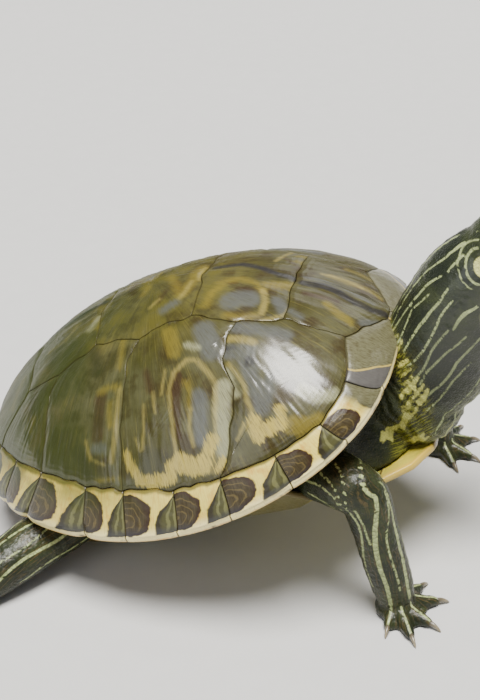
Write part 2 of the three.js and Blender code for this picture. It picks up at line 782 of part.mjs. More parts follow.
function legGeometry(rows, ankle, foot, side) {
  const leg = solidOf(limbGeometry(stationsOf(rows, side)));
  const place = vec(ankle.x + (side === 1 ? 0 : LEFT_STEP), -side * ankle.out, 0);
  const whole = leg.add(footSolid(foot, place, rad(side * ankle.heading), side));
  return geometryOf(whole.subtract(keepOut).intersect(aboveFloor));
}

function tailGeometry() {
  const tail = solidOf(limbGeometry(stationsOf(TAIL, 1)));
  return geometryOf(tail.subtract(keepOut).intersect(aboveFloor));
}

// Neck: stations in the keel's plane, with half-width, half-depth and the angle its way rises.
const HEAD_SIDES = 16;
const NECK = [
  [[60, 60], 19, 18, 20],
  [[74, 68.5], 20.5, 19.5, 32],
  [[84, 80], 20, 21.5, 52],
  [[90, 94], 18.5, 20.5, 60],
  [[95, 107], 16.5, 18, 52],
  [[101, 116], 14.5, 14.5, 30],
  [[106, 119], 12.5, 12, 10],
];

function neckSolid() {
  const rings = NECK.map(([[x, z], wide, high, rise]) => {
    const turn = rad(rise);
    const up = vec(-Math.sin(turn), 0, Math.cos(turn));
    return ring(vec(x, 0, z), vec(0, -1, 0), up, wide, high, high, 2, HEAD_SIDES);
  });
  return solidOf(tubeGeometry(rings));
}

// Throat: loose skin that lies over the front belly plate, half a ball in the shell's frame.
const THROAT_AT = vec(77, 0, -17);
const THROAT_HALF = vec(16, 19, 15);

function throatSolid() {
  const ball = new THREE.SphereGeometry(1, 12, 7);
  ball.scale(THROAT_HALF.x, THROAT_HALF.y, THROAT_HALF.z);
  ball.translate(THROAT_AT.x, THROAT_AT.y, THROAT_AT.z);
  const places = ball.getAttribute("position");
  const lowest = plastronLevel(RIM_FRONT) + PLASTRON_THICKNESS + 1.5 * GAP;
  for (let k = 0; k < places.count; k++) {
    places.setZ(k, Math.max(places.getZ(k), lowest));
  }
  return solidOf(posed(ball));
}

// Head: sections along it from the back of the skull to the beak, as half-width, top and bottom.
const HEAD_AT = vec(95, 0, 120.5);
const HEAD_RISE = rad(6);
const HEAD_SECTIONS = [
  [0, 10.5, 9, 9.5],
  [3.5, 13, 11.4, 12],
  [9, 14.4, 12.3, 12.4],
  [15, 14.3, 12.4, 11.8],
  [21, 13, 12.2, 11],
  [26, 11.4, 11.6, 10.4],
  [30, 9.7, 10, 9.8],
  [34, 7.8, 7.2, 9],
  [37.2, 5.7, 4, 7.6],
  [39, 3.2, 1.6, 5.9],
];
const HEAD_POWER = 2.25;
const EYE = { along: 28.6, out: 6.9, up: 4.2, radius: 4.2 };

const headWay = vec(Math.cos(HEAD_RISE), 0, Math.sin(HEAD_RISE));
const headUp = vec(-Math.sin(HEAD_RISE), 0, Math.cos(HEAD_RISE));

function inHead(along, left, up) {
  return HEAD_AT.clone().addScaledVector(headWay, along).addScaledVector(headUp, up).add(vec(0, left, 0));
}

function headSolid() {
  const rings = HEAD_SECTIONS.map(([along, wide, top, bottom]) => {
    const middle = (top - bottom) / 2;
    const half = (top + bottom) / 2;
    return ring(inHead(along, 0, middle), vec(0, -1, 0), headUp, wide, half, half, HEAD_POWER, HEAD_SIDES);
  });
  return solidOf(tubeGeometry(rings));
}

function eyeGeometry(side, grow) {
  const eye = new THREE.SphereGeometry(EYE.radius + grow, 12, 8);
  const at = inHead(EYE.along, -side * EYE.out, EYE.up);
  return eye.translate(at.x, at.y, at.z);
}

// The head, neck and throat are one piece of flesh, parted by a thin cut behind the jaw.
const HEAD_CUT = vec(98, 0, 113);
const HEAD_CUT_WAY = vec(0.72, 0, 0.69).normalize();

function headAndNeck() {
  const whole = neckSolid().add(throatSolid()).add(headSolid());
  const neckSide = HEAD_CUT.clone().addScaledVector(HEAD_CUT_WAY, -GAP);
  const neck = whole.intersect(block(neckSide, HEAD_CUT_WAY.clone().negate())).subtract(keepOut);
  let head = whole.intersect(block(HEAD_CUT, HEAD_CUT_WAY));
  for (const side of [1, -1]) {
    head = head.subtract(solidOf(eyeGeometry(side, GAP)));
  }
  return { head: geometryOf(head), neck: geometryOf(neck) };
}

// ---- Materials ----

const material = (color, roughness) => new THREE.MeshStandardMaterial({ color, roughness, metalness: 0 });
const shellMaterial = material(0x5f5a38, 0.5);
const rimMaterial = material(0x8a7f50, 0.5);
const plastronMaterial = material(0xd9b85a, 0.5);
const skinMaterial = material(0x2c3524, 0.6);
const eyeMaterial = material(0x8f9a3a, 0.1);

// ---- Assembly ----

const turtle = new THREE.Group();

function addNode(name, geometry, nodeMaterial) {
  const mesh = new THREE.Mesh(geometry, nodeMaterial);
  mesh.name = name;
  turtle.add(mesh);
}

function addShell() {
  addNode("carapace_nuchal", posed(nuchalGeometry()), rimMaterial);
  for (const { name, places } of backOutlines()) {
    addNode(name, posed(plateGeometry(places)), shellMaterial);
  }
  for (const [word, side] of [["right", 1], ["left", -1]]) {
    for (let plate = 1; plate < MARGINAL_SEAMS.length; plate++) {
      addNode(`carapace_marginal_${word}_${plate}`, posed(marginalGeometry(plate, side)), rimMaterial);
    }
  }
  for (const [name, rows] of Object.entries(PLASTRON_ROWS)) {
    const plate = solidOf(posed(plastronGeometry(rows))).intersect(aboveFloor);
    addNode(`plastron_${name}`, geometryOf(plate), plastronMaterial);
  }
}

function addFlesh() {
  const trunk = solidOf(posed(trunkGeometry(0))).subtract(plastronKeepOut);
  addNode("trunk", geometryOf(trunk), skinMaterial);
  const { head, neck } = headAndNeck();
  addNode("head", head, skinMaterial);
  addNode("neck", neck, skinMaterial);
  addNode("tail", tailGeometry(), skinMaterial);
  for (const [word, side] of [["right", 1], ["left", -1]]) {
    addNode(`foreleg_${word}`, legGeometry(FORELEG, FORELEG_ANKLE, FOREFOOT, side), skinMaterial);
    addNode(`hindleg_${word}`, legGeometry(HINDLEG, HINDLEG_ANKLE, HINDFOOT, side), skinMaterial);
    addNode(`eye_${word}`, eyeGeometry(side, 0), eyeMaterial);
  }
}

addShell();
addFlesh();

// The origin is the middle of the bounding box, on the floor.
const bounds = new THREE.Box3().setFromObject(turtle);
const centre = bounds.getCenter(vec(0, 0, 0));
turtle.position.set(-centre.x, -centre.y, -bounds.min.z);

export default turtle;
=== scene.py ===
# Red-eared slider turtle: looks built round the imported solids.
# Shapes are in millimetres, and a mesh is scaled to metres as it is made. The stage, and the
# places that the materials read, are in metres.
import math

import bpy
import numpy as np
from mathutils import Matrix, Vector


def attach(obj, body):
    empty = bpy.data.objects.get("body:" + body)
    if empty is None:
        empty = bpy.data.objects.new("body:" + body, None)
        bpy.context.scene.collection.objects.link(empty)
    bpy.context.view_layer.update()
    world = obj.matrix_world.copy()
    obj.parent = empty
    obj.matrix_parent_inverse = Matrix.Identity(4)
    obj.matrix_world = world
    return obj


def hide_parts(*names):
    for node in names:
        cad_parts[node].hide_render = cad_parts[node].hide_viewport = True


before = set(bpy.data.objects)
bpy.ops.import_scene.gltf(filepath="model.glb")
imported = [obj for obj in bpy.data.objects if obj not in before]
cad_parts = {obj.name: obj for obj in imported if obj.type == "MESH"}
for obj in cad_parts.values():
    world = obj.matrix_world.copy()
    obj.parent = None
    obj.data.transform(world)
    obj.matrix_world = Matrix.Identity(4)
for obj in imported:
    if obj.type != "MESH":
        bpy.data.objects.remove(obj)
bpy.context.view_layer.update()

MM = 0.001
SIDES = (("right", 1), ("left", -1))

# ---- The shell's own frame: x ahead, y left, z up from the rim ----

RIM_FRONT = 81.0
RIM_REAR = 99.5
RIM_HALF_WIDTH = 72.0
RIM_POWER_FRONT = 3.0
RIM_POWER_REAR = 1.95
# Values at the flank, the front and the rear.
RIM_RISE = (-4.4, 15.8, 8.2)
DOME_POWER = (1.65, 1.6, 1.49)
DOME_HEIGHT = 57.3
PLATE_THICKNESS = 2.6
GAP = 0.22
PITCH = math.radians(20)
SHELL_RISE = 47.3
SHIFT = np.array([-7.554, 0.0145, 0.0])
# The flat map of the dome: a place times this is close to mm, and so is an angle times the next.
MAP_MM = 100
ROUND_MM = 85

BACK_SEAMS = (50.6, 19.0, -21.6, -56.4)
BACK_HALF_AT_SEAM = 24.0
BACK_HALF_BETWEEN = 27.4
BACK_CORNERS = (35.0, -2.5, -40.0)
MARGINAL_SEAMS = np.radians([3, 24, 40, 55.4, 72.5, 89, 105.5, 120, 142, 152, 162, 171.5, 180])
# Where each of those seams meets the back, as degrees round and how far out on the dome.
INNER_SEAMS = (
    (2.2, 0.83), (30.2, 0.746), (42.3, 0.78), (55.4, 0.772), (70.9, 0.755), (86, 0.742), (103.2, 0.716),
    (117.2, 0.704), (134.7, 0.686), (147, 0.686), (158, 0.688), (169.5, 0.689), (180, 0.689),
)
FIRST_CORNER = (19.4, 0.66)
SIDE_SEAM_ENDS = (4, 6, 8)
LAST_SIDE_SEAM = 10
NOTCH_FROM = 6
NOTCH_DEPTH = 1.5


def blend(trio, angle):
    """Flank value moved towards the front or rear one by the squared cosine of the angle."""
    forward = np.cos(angle)
    end = np.where(forward > 0, trio[1], trio[2])
    return trio[0] + (end - trio[0]) * forward**2


def rim_radius(angle):
    """Radius of a superellipse with its own length and power ahead and behind."""
    ahead = np.cos(angle) > 0
    length = np.where(ahead, RIM_FRONT, RIM_REAR)
    power = np.where(ahead, RIM_POWER_FRONT, RIM_POWER_REAR)
    along = np.abs(np.cos(angle) / length) ** power
    across = np.abs(np.sin(angle) / RIM_HALF_WIDTH) ** power
    return (along + across) ** (-1 / power)


def dome(out, angle):
    """Dome point: reach is rim radius times sine, height falls off as a power of the cosine."""
    turn = np.clip(out, 0, 1) * np.pi / 2
    rise = blend(RIM_RISE, angle)
    fall = np.maximum(np.cos(turn), 0) ** blend(DOME_POWER, angle)
    reach = rim_radius(angle) * np.sin(turn)
    height = rise + (DOME_HEIGHT - rise) * fall
    return np.stack([reach * np.cos(angle), -reach * np.sin(angle), height], axis=-1)


def dome_at(place, lift=0.0):
    """Dome point of a place on the flat map, raised along the surface's normal by lift."""
    def point(p):
        return dome(np.hypot(p[..., 0], p[..., 1]), np.arctan2(p[..., 1], p[..., 0]))

    step = 0.004
    across = point(place + [step, 0]) - point(place - [step, 0])
    along = point(place + [0, step]) - point(place - [0, step])
    normal = np.cross(along, across)
    normal /= np.maximum(np.linalg.norm(normal, axis=-1, keepdims=True), 1e-9)
    return point(place) + normal * np.asarray(lift)[..., None]


def place_of(out, angle):
    return np.stack([out * np.cos(angle), out * np.sin(angle)], axis=-1)


def place_of_plan(x, y):
    """Flat place of a point given in plan: the way out is the arc sine of its share of the rim."""
    angle = math.atan2(-y, x)
    share = min(math.hypot(x, y) / float(rim_radius(angle)), 1.0)
    return place_of(math.asin(share) / (math.pi / 2), angle)


def posed(points):
    """Shell frame to the model's frame: pitched up at the front and lifted off the floor."""
    x, y, z = points[..., 0], points[..., 1], points[..., 2]
    turned = [x * math.cos(PITCH) - z * math.sin(PITCH), y, x * math.sin(PITCH) + z * math.cos(PITCH)]
    return np.stack(turned, axis=-1) + [0, 0, SHELL_RISE] + SHIFT


def in_shell(points):
    """The model's frame back to the shell's."""
    p = points - SHIFT - [0, 0, SHELL_RISE]
    x, y, z = p[..., 0], p[..., 1], p[..., 2]
    turned = [x * math.cos(PITCH) + z * math.sin(PITCH), y, -x * math.sin(PITCH) + z * math.cos(PITCH)]
    return np.stack(turned, axis=-1)


# ---- Meshes from arrays ----


def smoothstep(low, high, value):
    t = np.clip((value - low) / (high - low), 0, 1)
    return t * t * (3 - 2 * t)


def hump(value, middle, half):
    """A smooth hump of height 1 at a middle value, falling off past its half-width."""
    return np.exp(-(((value - middle) / half) ** 2))


def make_mesh(name, points, faces):
    """A mesh from points in mm and rows of four corners, where -1 leaves a triangle."""
    mesh = bpy.data.meshes.new(name)
    used = faces >= 0
    counts = used.sum(axis=1)
    starts = np.concatenate([[0], np.cumsum(counts)[:-1]])
    mesh.vertices.add(len(points))
    mesh.vertices.foreach_set("co", (np.asarray(points) * MM).ravel())
    mesh.loops.add(int(counts.sum()))
    mesh.loops.foreach_set("vertex_index", faces[used].astype(np.int32))
    mesh.polygons.add(len(faces))
    mesh.polygons.foreach_set("loop_start", starts.astype(np.int32))
    mesh.polygons.foreach_set("use_smooth", np.ones(len(faces), dtype=bool))
    mesh.update(calc_edges=True)
    mesh.validate()
    return mesh


def add_values(mesh, values):
    """Puts each array of one number or three a point on the mesh as an attribute."""
    for name, value in values.items():
        value = np.asarray(value, dtype=np.float32)
        if value.ndim == 1:
            mesh.attributes.new(name, "FLOAT", "POINT").data.foreach_set("value", value)
        else:
            mesh.attributes.new(name, "FLOAT_VECTOR", "POINT").data.foreach_set("vector", value.ravel())


def add_piece(mesh, material, replaces=()):
    piece = bpy.data.objects.new(mesh.name, mesh)
    bpy.context.scene.collection.objects.link(piece)
    mesh.materials.append(material)
    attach(piece, "root")
    if replaces:
        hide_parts(*replaces)
    return piece


def loop_faces(first, second, count):
    """Quads between two closed rows of points that start at the given numbers."""
    k = np.arange(count)
    n = (k + 1) % count
    return np.stack([first + k, first + n, second + n, second + k], axis=1)


def tube_faces(rows, count):
    """Quads down a tube of closed rows, with a fan to one more point at each end."""
    faces = [loop_faces(r * count, (r + 1) * count, count) for r in range(rows - 1)]
    k = np.arange(count)
    n = (k + 1) % count
    pad = np.full(count, -1)
    last = (rows - 1) * count
    faces.append(np.stack([np.full(count, rows * count), n, k, pad], axis=1))
    faces.append(np.stack([np.full(count, rows * count + 1), last + k, last + n, pad], axis=1))
    return np.concatenate(faces)


def with_ends(values):
    """Values given row by row for a tube, made flat, with those of its two end points added."""
    made = {}
    for key, value in values.items():
        value = value.reshape(-1, *value.shape[2:])
        made[key] = np.concatenate([value, value[:1], value[-1:]])
    return made


def tube(rings):
    """Points and faces of a closed tube from rings, an array of rows by points by three."""
    rows, count = rings.shape[:2]
    ends = np.stack([rings[0].mean(axis=0), rings[-1].mean(axis=0)])
    return np.concatenate([rings.reshape(-1, 3), ends]), tube_faces(rows, count)


def segment_distance(points, starts, ends):
    """Distance from each point to each stretch between a start and an end, points by stretches."""
    way = ends - starts
    length = np.maximum((way**2).sum(axis=-1), 1e-12)
    share = np.clip(((points[:, None] - starts) * way).sum(axis=-1) / length, 0, 1)
    nearest = starts + way * share[..., None]
    return np.linalg.norm(points[:, None] - nearest, axis=-1), share


def waves(points, size, seed, count=24):
    """Smooth noise near -1..1: a sum of cosine waves of about one length in seeded directions."""
    draw = np.random.default_rng(seed)
    ways = draw.normal(size=(count, points.shape[-1]))
    ways *= 2 * np.pi / (np.linalg.norm(ways, axis=1, keepdims=True) * size)
    ways *= draw.uniform(0.6, 1.5, size=(count, 1))
    phases = draw.uniform(0, 2 * np.pi, size=count)
    return np.cos(points @ ways.T + phases).sum(axis=-1) * math.sqrt(2 / count) * 0.6


# ---- Marks of the back, as strokes on the flat map: half-width in mm, then places x, y.
# The map is in hundredths of the way out, which are close to mm. Right side plates have y > 0.

MARKS = {
    "pleural_1": {
        "line": [
            (1, (25, 27), (29, 27), (33, 28)),
            (0.55, (27, 35), (29, 37), (32, 41), (33, 45), (35, 49), (34, 54), (36, 57)),
            (0.4, (31, 58), (33, 53)),
        ],
        "band": [(2.2, (36, 52), (38, 57)), (2.6, (39, 55), (43, 53)), (1.6, (43, 48), (45, 53))],
        "gold": [(1.4, (52, 58), (58, 61)), (3, (48, 53), (52, 54), (56, 52))],
        # The widest mist stroke of this plate runs along the lower edge of the key light's highlight: partly
        # pale horn, partly a painted highlight.
        "mist": [(1.2, (28, 41), (30, 44)), (0.9, (27, 37), (28, 39)), (2.2, (49, 42), (55, 44), (60, 43))],
        "slate": [
            (2.4, (26, 31), (29, 31), (32, 31)), (2.4, (32, 34), (34, 39), (36, 43)),
            (2.3, (36, 43), (38, 48)), (1.8, (39, 38), (39, 45)), (2, (27, 23), (35, 24), (42, 25)),
        ],
        "ink": [
            (0.4, (32, 34), (32, 33), (33, 33), (34, 34), (33, 35), (32, 35), (32, 34)),
            (0.4, (25, 30), (28, 30)),
        ],
        "shade": [(1.8, (47, 60), (53, 56)), (1.5, (30, 47), (30, 60))],
    },
    "pleural_2": {
        "line": [
            (0.65, (8, 67), (9, 61), (9, 55), (9, 49), (9, 43), (11, 38), (13, 36), (15, 34),
             (18, 34), (20, 36), (22, 38), (24, 41), (24, 46), (24, 54), (23, 60)),
            (0.4, (-1, 46), (-2, 52), (-4, 59)), (0.55, (16, 49), (15, 54), (16, 60)),
            (0.35, (3, 43), (3, 49)), (0.3, (-6, 55), (-5, 59)), (0.35, (8, 37), (6, 44)),
        ],
        "band": [
            (1.9, (-11, 59), (-10, 63), (-9, 66)), (2.3, (-8, 68), (-3, 70), (3, 70)),
            (2, (6, 66), (5, 70)), (3.3, (10, 65), (15, 67), (19, 66)), (2.1, (21, 62), (23, 58)),
            (1.4, (24, 68), (26, 65)),
        ],
        "gold": [
            (1, (15, 41), (16, 44), (16, 48)), (1.2, (22, 68), (23, 63)), (2.4, (9, 25), (11, 31)),
            (1, (-7, 20), (-8, 27), (-8, 35)),
        ],
        "rust": [(1.8, (12, 39), (11, 44), (11, 50)), (1, (11, 50), (11, 57)), (1.4, (1, 37), (2, 42))],
        "mist": [(2.3, (26, 42), (26, 52), (26, 62)), (1, (15, 29), (18, 30))],
        "slate": [(2.4, (19, 45), (19, 58)), (3, (19, 24), (22, 31)), (1.5, (5, 14), (9, 19))],
        "shade": [
            (2.4, (-3, 60), (-4, 65)), (2, (2, 62), (2, 66)), (0.9, (5, 62), (4, 68)),
            (1, (7, 73), (14, 73), (22, 71)), (1, (-15, 68), (-5, 72), (4, 74)), (0.4, (9, 61), (9, 65)),
            (1.3, (18, 58), (18, 62)),
        ],
    },
    "pleural_3": {
        "line": [
            (0.9, (-10, 39), (-11, 43), (-13, 49), (-15, 54), (-18, 59)),
            (0.35, (-26, 49), (-26, 53), (-25, 56), (-21, 59)),
        ],
        "gold": [
            (0.9, (-17, 37), (-14, 37), (-10, 38)), (1.1, (-14, 42), (-15, 48)),
            (0.7, (-26, 50), (-26, 55)), (0.5, (-26, 63), (-17, 65)), (1, (-7, 15), (-8, 25), (-9, 32)),
        ],
        "rust": [(2.2, (-17, 39), (-19, 45), (-21, 50)), (0.7, (-25, 54), (-20, 58))],
        "slate": [(1.6, (-23, 53), (-20, 54))],
        "shade": [(2.6, (-30, 51), (-29, 59)), (2, (-19, 18), (-17, 30))],
    },
    "pleural_4": {
        "line": [(0.35, (-29, 18), (-25, 20), (-21, 23)), (0.35, (-30, 37), (-34, 41))],
        "gold": [
            (0.7, (-30, 18), (-31, 19), (-34, 21)), (0.9, (-41, 43), (-39, 45), (-36, 48)),
            (0.5, (-46, 33), (-43, 30)), (0.6, (-28, 41), (-32, 46)),
        ],
        "rust": [(1, (-36, 22), (-35, 19)), (1.5, (-35, 42), (-34, 37)), (1, (-38, 17), (-41, 24))],
        "slate": [(1.6, (-30, 28), (-31, 32))],
        "ink": [(1.9, (-25, 30), (-28, 34))],
        "shade": [(1.5, (-42, 23), (-44, 30))],
    },
    "vertebral_2": {
        "line": [
            (1, (34, 9), (35, 14), (34, 18)), (0.5, (43, 3), (43, 9), (43, 14), (41, 18), (34, 21)),
            (0.5, (34, -9), (35, -17), (38, -29), (44, -32), (52, -22)),
            (0.4, (54, -17), (51, -10), (46, -4)),
        ],
        "gold": [
            (1.2, (21, 6), (27, 4), (32, 6), (34, 9)), (1, (32, 19), (28, 20), (24, 19)),
            (1.9, (35, 6), (41, 5)), (1.2, (18, 15), (19, 10), (22, 7)),
            (1.1, (40, -12), (45, -11), (49, -13)), (0.9, (39, -16), (45, -19)),
        ],
        "rust": [(0.7, (24, 6), (25, 6)), (0.5, (35, -13), (43, -7), (48, -8)), (0.6, (27, 9), (31, 9))],
        "slate": [(3.3, (25, 14), (27, 13), (30, 13)), (2.2, (39, 13), (41, 17))],
        "ink": [(1.3, (18, -3), (25, -5), (32, -3), (38, 0), (43, 0))],
        "shade": [(0.8, (19, 13), (18, 17))],
    },
    "vertebral_1": {
        "line": [(0.4, (50, -7), (58, -8), (66, -7)), (0.4, (51, -22), (60, -24))],
        "gold": [
            (1.6, (55, 10), (60, 13), (64, 15)), (1.2, (53, -7), (60, -7), (67, -8), (76, -7)),
            (0.8, (56, -16), (64, -17), (75, -17)),
        ],
        "rust": [(1.1, (47, 7), (53, 7), (58, 7)), (0.5, (61, -7), (68, -5), (78, -6))],
        "slate": [
            (0.7, (46, -2), (54, -2), (62, -1), (73, 1)), (1.8, (69, 13), (77, 10), (82, 8)),
            (1.2, (43, 16), (46, 18)),
        ],
        "ink": [(1.5, (46, 2), (52, 1), (59, 2), (65, 4), (73, 4), (83, 2), (88, 1))],
        "shade": [(1, (56, -4), (64, -3), (74, -2))],
    },
    "vertebral_3": {
        "line": [(0.6, (10, 11), (12, 4)), (0.5, (4, 11), (1, 14)), (0.5, (14, -4), (14, 3))],
        "gold": [
            (1.1, (-3, 6), (-2, 3)), (1.3, (5, 0), (9, 8)), (1.9, (10, 9), (13, 2), (13, -4)),
            (1.2, (-3, -2), (-1, -8)),
        ],
        "rust": [(1, (7, 3), (9, 8)), (0.8, (5, 7), (4, 12)), (1, (-7, -3), (-6, 3))],
        "slate": [(1.4, (6, 16), (9, 13)), (1, (-4, -4), (-3, -6))],
        "shade": [(1.1, (17, 10), (16, 15)), (0.9, (1, 10), (0, 15))],
    },
    "vertebral_4": {
        "ink": [(1.1, (-15, 0), (-24, 1), (-34, 0))],
        "line": [
            (0.5, (-22, 5), (-27, 9), (-33, 9)), (0.5, (-20, -6), (-27, -11), (-35, -9)),
            (0.7, (-11, -3), (-14, 3)), (0.8, (-7, 9), (-7, 16)),
        ],
        "gold": [(1.2, (-9, 1), (-12, 6), (-16, 12))],
        "rust": [(0.9, (-10, 10), (-13, 15)), (0.7, (-8, 4), (-9, 10))],
        "mist": [(0.9, (-16, 7), (-19, 11))],
        "shade": [(1.4, (-24, 14), (-27, 16))],
    },
    "vertebral_5": {
        "gold": [(1.2, (-52, 3), (-60, 5)), (1.4, (-60, -18), (-64, -24)), (1, (-45, 10), (-52, 18))],
        "line": [(0.5, (-56, 9), (-64, 16)), (0.5, (-56, -9), (-65, -15))],
        "rust": [(1.8, (-60, 10), (-66, 12)), (1.6, (-58, -4), (-64, -2))],
        "shade": [(2, (-46, -8), (-52, -12))],
    },
}
MARK_KINDS = ("shade", "rust", "gold", "slate", "mist", "band", "line", "ink")
FAR = 30.0


def mark_distances(places, marks):
    """Signed distance in mm to the nearest stroke of each kind, less its half-width."""
    found = {}
    for kind in MARK_KINDS:
        nearest = np.full(len(places), FAR)
        for half, *line in marks.get(kind, ()):
            line = np.array(line, dtype=float)
            ends = line[1:] if len(line) > 1 else line
            distance, _ = segment_distance(places * MAP_MM, line[: len(ends)], ends)
            nearest = np.minimum(nearest, distance.min(axis=1) - half)
        found[kind] = nearest
    return found


# ---- Outlines of the back plates on the flat map ----


def inner_rows():
    """Inner ends of the right marginal plates, at each seam and halfway between seams."""
    seams = [place_of(out, math.radians(degrees)) for degrees, out in INNER_SEAMS]
    rows = [seams[0], place_of(FIRST_CORNER[1], math.radians(FIRST_CORNER[0]))]
    for low, high in zip(seams[1:], seams[2:]):
        rows += [low, (low + high) / 2]
    return np.array([*rows, seams[-1]])


INNER_PLACES = inner_rows()


def inner_place(seam, side=1):
    """Where the marginal plates begin: a half seam number is the middle of a plate."""
    knots = np.arange(len(INNER_PLACES)) / 2
    x, y = (np.interp(seam, knots, INNER_PLACES[:, k]) for k in range(2))
    return np.stack([x, side * y], axis=-1)


def rim_angle(seam):
    return np.interp(seam, np.arange(len(MARGINAL_SEAMS)), MARGINAL_SEAMS)


def back_seam_end(seam, side):
    return place_of_plan(BACK_SEAMS[seam], -side * BACK_HALF_AT_SEAM)


def back_corner(index, side):
    return place_of_plan(BACK_CORNERS[index], -side * BACK_HALF_BETWEEN)


def back_side(plate, side):
    if plate == 1:
        return [inner_place(0.5, side), back_seam_end(0, side)]
    if plate == 5:
        return [back_seam_end(3, side), inner_place(LAST_SIDE_SEAM, side)]
    return [back_seam_end(plate - 2, side), back_corner(plate - 2, side), back_seam_end(plate - 1, side)]


def back_outline(plate):
    right, left = back_side(plate, 1), back_side(plate, -1)[::-1]
    if plate == 5:
        run = [inner_place(s) for s in (10.5, 11, 11.5)]
        back = [inner_place(s, -1) for s in (11.5, 11, 10.5)]
        rear = [*run, inner_place(12), *back]
    else:
        rear = [place_of_plan(BACK_SEAMS[plate - 1], 0)]
    if plate == 1:
        front = [inner_place(0, -1), inner_place(0)]
    else:
        front = [place_of_plan(BACK_SEAMS[plate - 2], 0)]
    return np.array([*right, *rear, *left, *front])


# Offsets of the seam behind a side plate, as (part of the way down, hundredths rearward).
SEAM_BENDS = {
    1: ((0.08, 1.2), (0.24, 1.4), (0.34, -0.9), (0.41, -3.4), (0.61, -3.3), (0.89, -2.3)),
    2: ((0.14, 1.6), (0.3, 1.5), (0.6, 0.9), (0.85, 0.4)),
    3: ((0.3, 0.8), (0.6, -0.6)),
}


def bent_seam(index, side):
    """Places down the seam behind side plate 1 to 3, set off from the straight line."""
    if index not in SEAM_BENDS:
        return []
    top, foot = back_corner(index - 1, side), inner_place(SIDE_SEAM_ENDS[index - 1], side)
    along = foot - top
    aside = side * np.array([-along[1], along[0]]) / np.linalg.norm(along) / MAP_MM
    return [top + along * share + aside * offset for share, offset in SEAM_BENDS[index]]


def wander(places):
    """Places moved a little by smooth noise, alike on both sides of a seam."""
    moved = [waves(places * MAP_MM, 9, seed) for seed in (71, 72)]
    return places + SEAM_WANDER * np.stack(moved, axis=-1)


def side_outline(plate, side):
    seams = [0.5, *SIDE_SEAM_ENDS, LAST_SIDE_SEAM]
    if plate == 1:
        top = [*back_side(1, side), back_corner(0, side)]
    elif plate == 4:
        top = [back_corner(2, side), *back_side(5, side)]
    else:
        top = [back_corner(plate - 2, side), back_seam_end(plate - 1, side), back_corner(plate - 1, side)]
    halves = np.arange(seams[plate - 1], seams[plate] + 0.25, 0.5)[::-1]
    foot = [inner_place(s, side) for s in halves]
    if plate == 4:
        foot = foot[1:]
    if plate == 1:
        foot = foot[:-1]
    return np.array([*top, *bent_seam(plate, side), *foot, *bent_seam(plate - 1, side)[::-1]])


def clockwise(outline):
    x, y = outline.T
    area = (x * np.roll(y, -1) - y * np.roll(x, -1)).sum()
    return outline if area < 0 else outline[::-1]


PLATE_STEP = 0.8
SEAM_WANDER = 0.004
# How far out each ring of a plate stands: close together at the edge, then even.
RING_STEPS = np.array([1.0, 0.993, 0.984, 0.972, 0.955, 0.93, 0.9, *np.linspace(0.87, 0.04, 24)])
BULGE = 0.5
KEEL_HEIGHT = 0.5
KEEL_HALF = 2.6
RIB_SIZE = 2.6
GROWTH_STEP = 1.9
GROOVE = 0.22
GROOVE_HALF = 0.4


def groove(distance, half):
    """1 at a seam, and nothing past about its half-width."""
    return np.exp(-((distance / half) ** 1.3))


def plate_mesh(name, outline, marks, side):
    """A plate as a fan: rings shrink from the outline to its middle over the dome.

    Its height is the dome's, plus a low bulge, less a groove that deepens at the seam, plus
    growth lines that follow the seam and fine ribs that run down to the rim."""
    outline = clockwise(outline)
    following = np.roll(outline, -1, axis=0)
    spans = np.linalg.norm(following - outline, axis=1) * MAP_MM
    edge = []
    for start, end, span in zip(outline, following, spans):
        steps = max(int(round(span / PLATE_STEP)), 1)
        edge.append(start + (end - start) * (np.arange(steps) / steps)[:, None])
    edge = wander(np.concatenate(edge))
    middle = outline.mean(axis=0)
    inset = 1 - GAP / 2 / (np.linalg.norm(edge - middle, axis=1) * MAP_MM)
    rings = middle + (edge - middle) * (inset * RING_STEPS[:, None])[..., None]
    places = np.concatenate([rings.reshape(-1, 2), middle[None]])
    depth, _ = segment_distance(places * MAP_MM, edge * MAP_MM, np.roll(edge, -1, axis=0) * MAP_MM)
    depth = depth.min(axis=1)
    across = np.hypot(places[:, 0], places[:, 1]) * MAP_MM
    around = np.arctan2(places[:, 1], places[:, 0]) * ROUND_MM
    flow = np.stack([around, across, np.zeros(len(places))], axis=1)
    ribs = waves(flow * [1, 0.16, 1], RIB_SIZE, 11)
    growth = np.cos(2 * np.pi * (depth + 0.5 * waves(flow, 16, 5)) / GROWTH_STEP) * np.exp(-depth / 6)
    lift = BULGE * (1 - np.exp(-depth / 5)) - GROOVE * groove(depth, GROOVE_HALF)
    lift += 0.07 * ribs + 0.05 * growth + 0.12 * waves(flow, 13, 3)
    lift += KEEL_HEIGHT * hump(places[:, 1] * MAP_MM, 0, KEEL_HALF) * smoothstep(0.3, 2, depth)
    top = dome_at(places, lift)
    low_edge = dome_at(rings[0], -PLATE_THICKNESS)
    low_half = dome_at(middle + (rings[0] - middle) * 0.5, -PLATE_THICKNESS)
    low_middle = dome_at(middle[None], np.array([-PLATE_THICKNESS]))
    count = len(edge)
    points = np.concatenate([low_half, low_edge, top[:-1], low_middle, top[-1:]])
    mesh = make_mesh(name, posed(points), tube_faces(len(RING_STEPS) + 2, count))
    values = {"depth": depth, **mark_distances(places * [1, side], marks)}
    for key, value in values.items():
        below = np.full(count * 2, 0 if key == "depth" else FAR)
        values[key] = np.concatenate([below, value[:-1], [FAR], value[-1:]])
    values["flow"] = np.concatenate([flow[:count], flow[:count], flow[:-1], flow[-1:], flow[-1:]])
    add_values(mesh, values)
    return mesh


# ---- Marginal plates: a closed section swept round the rim ----

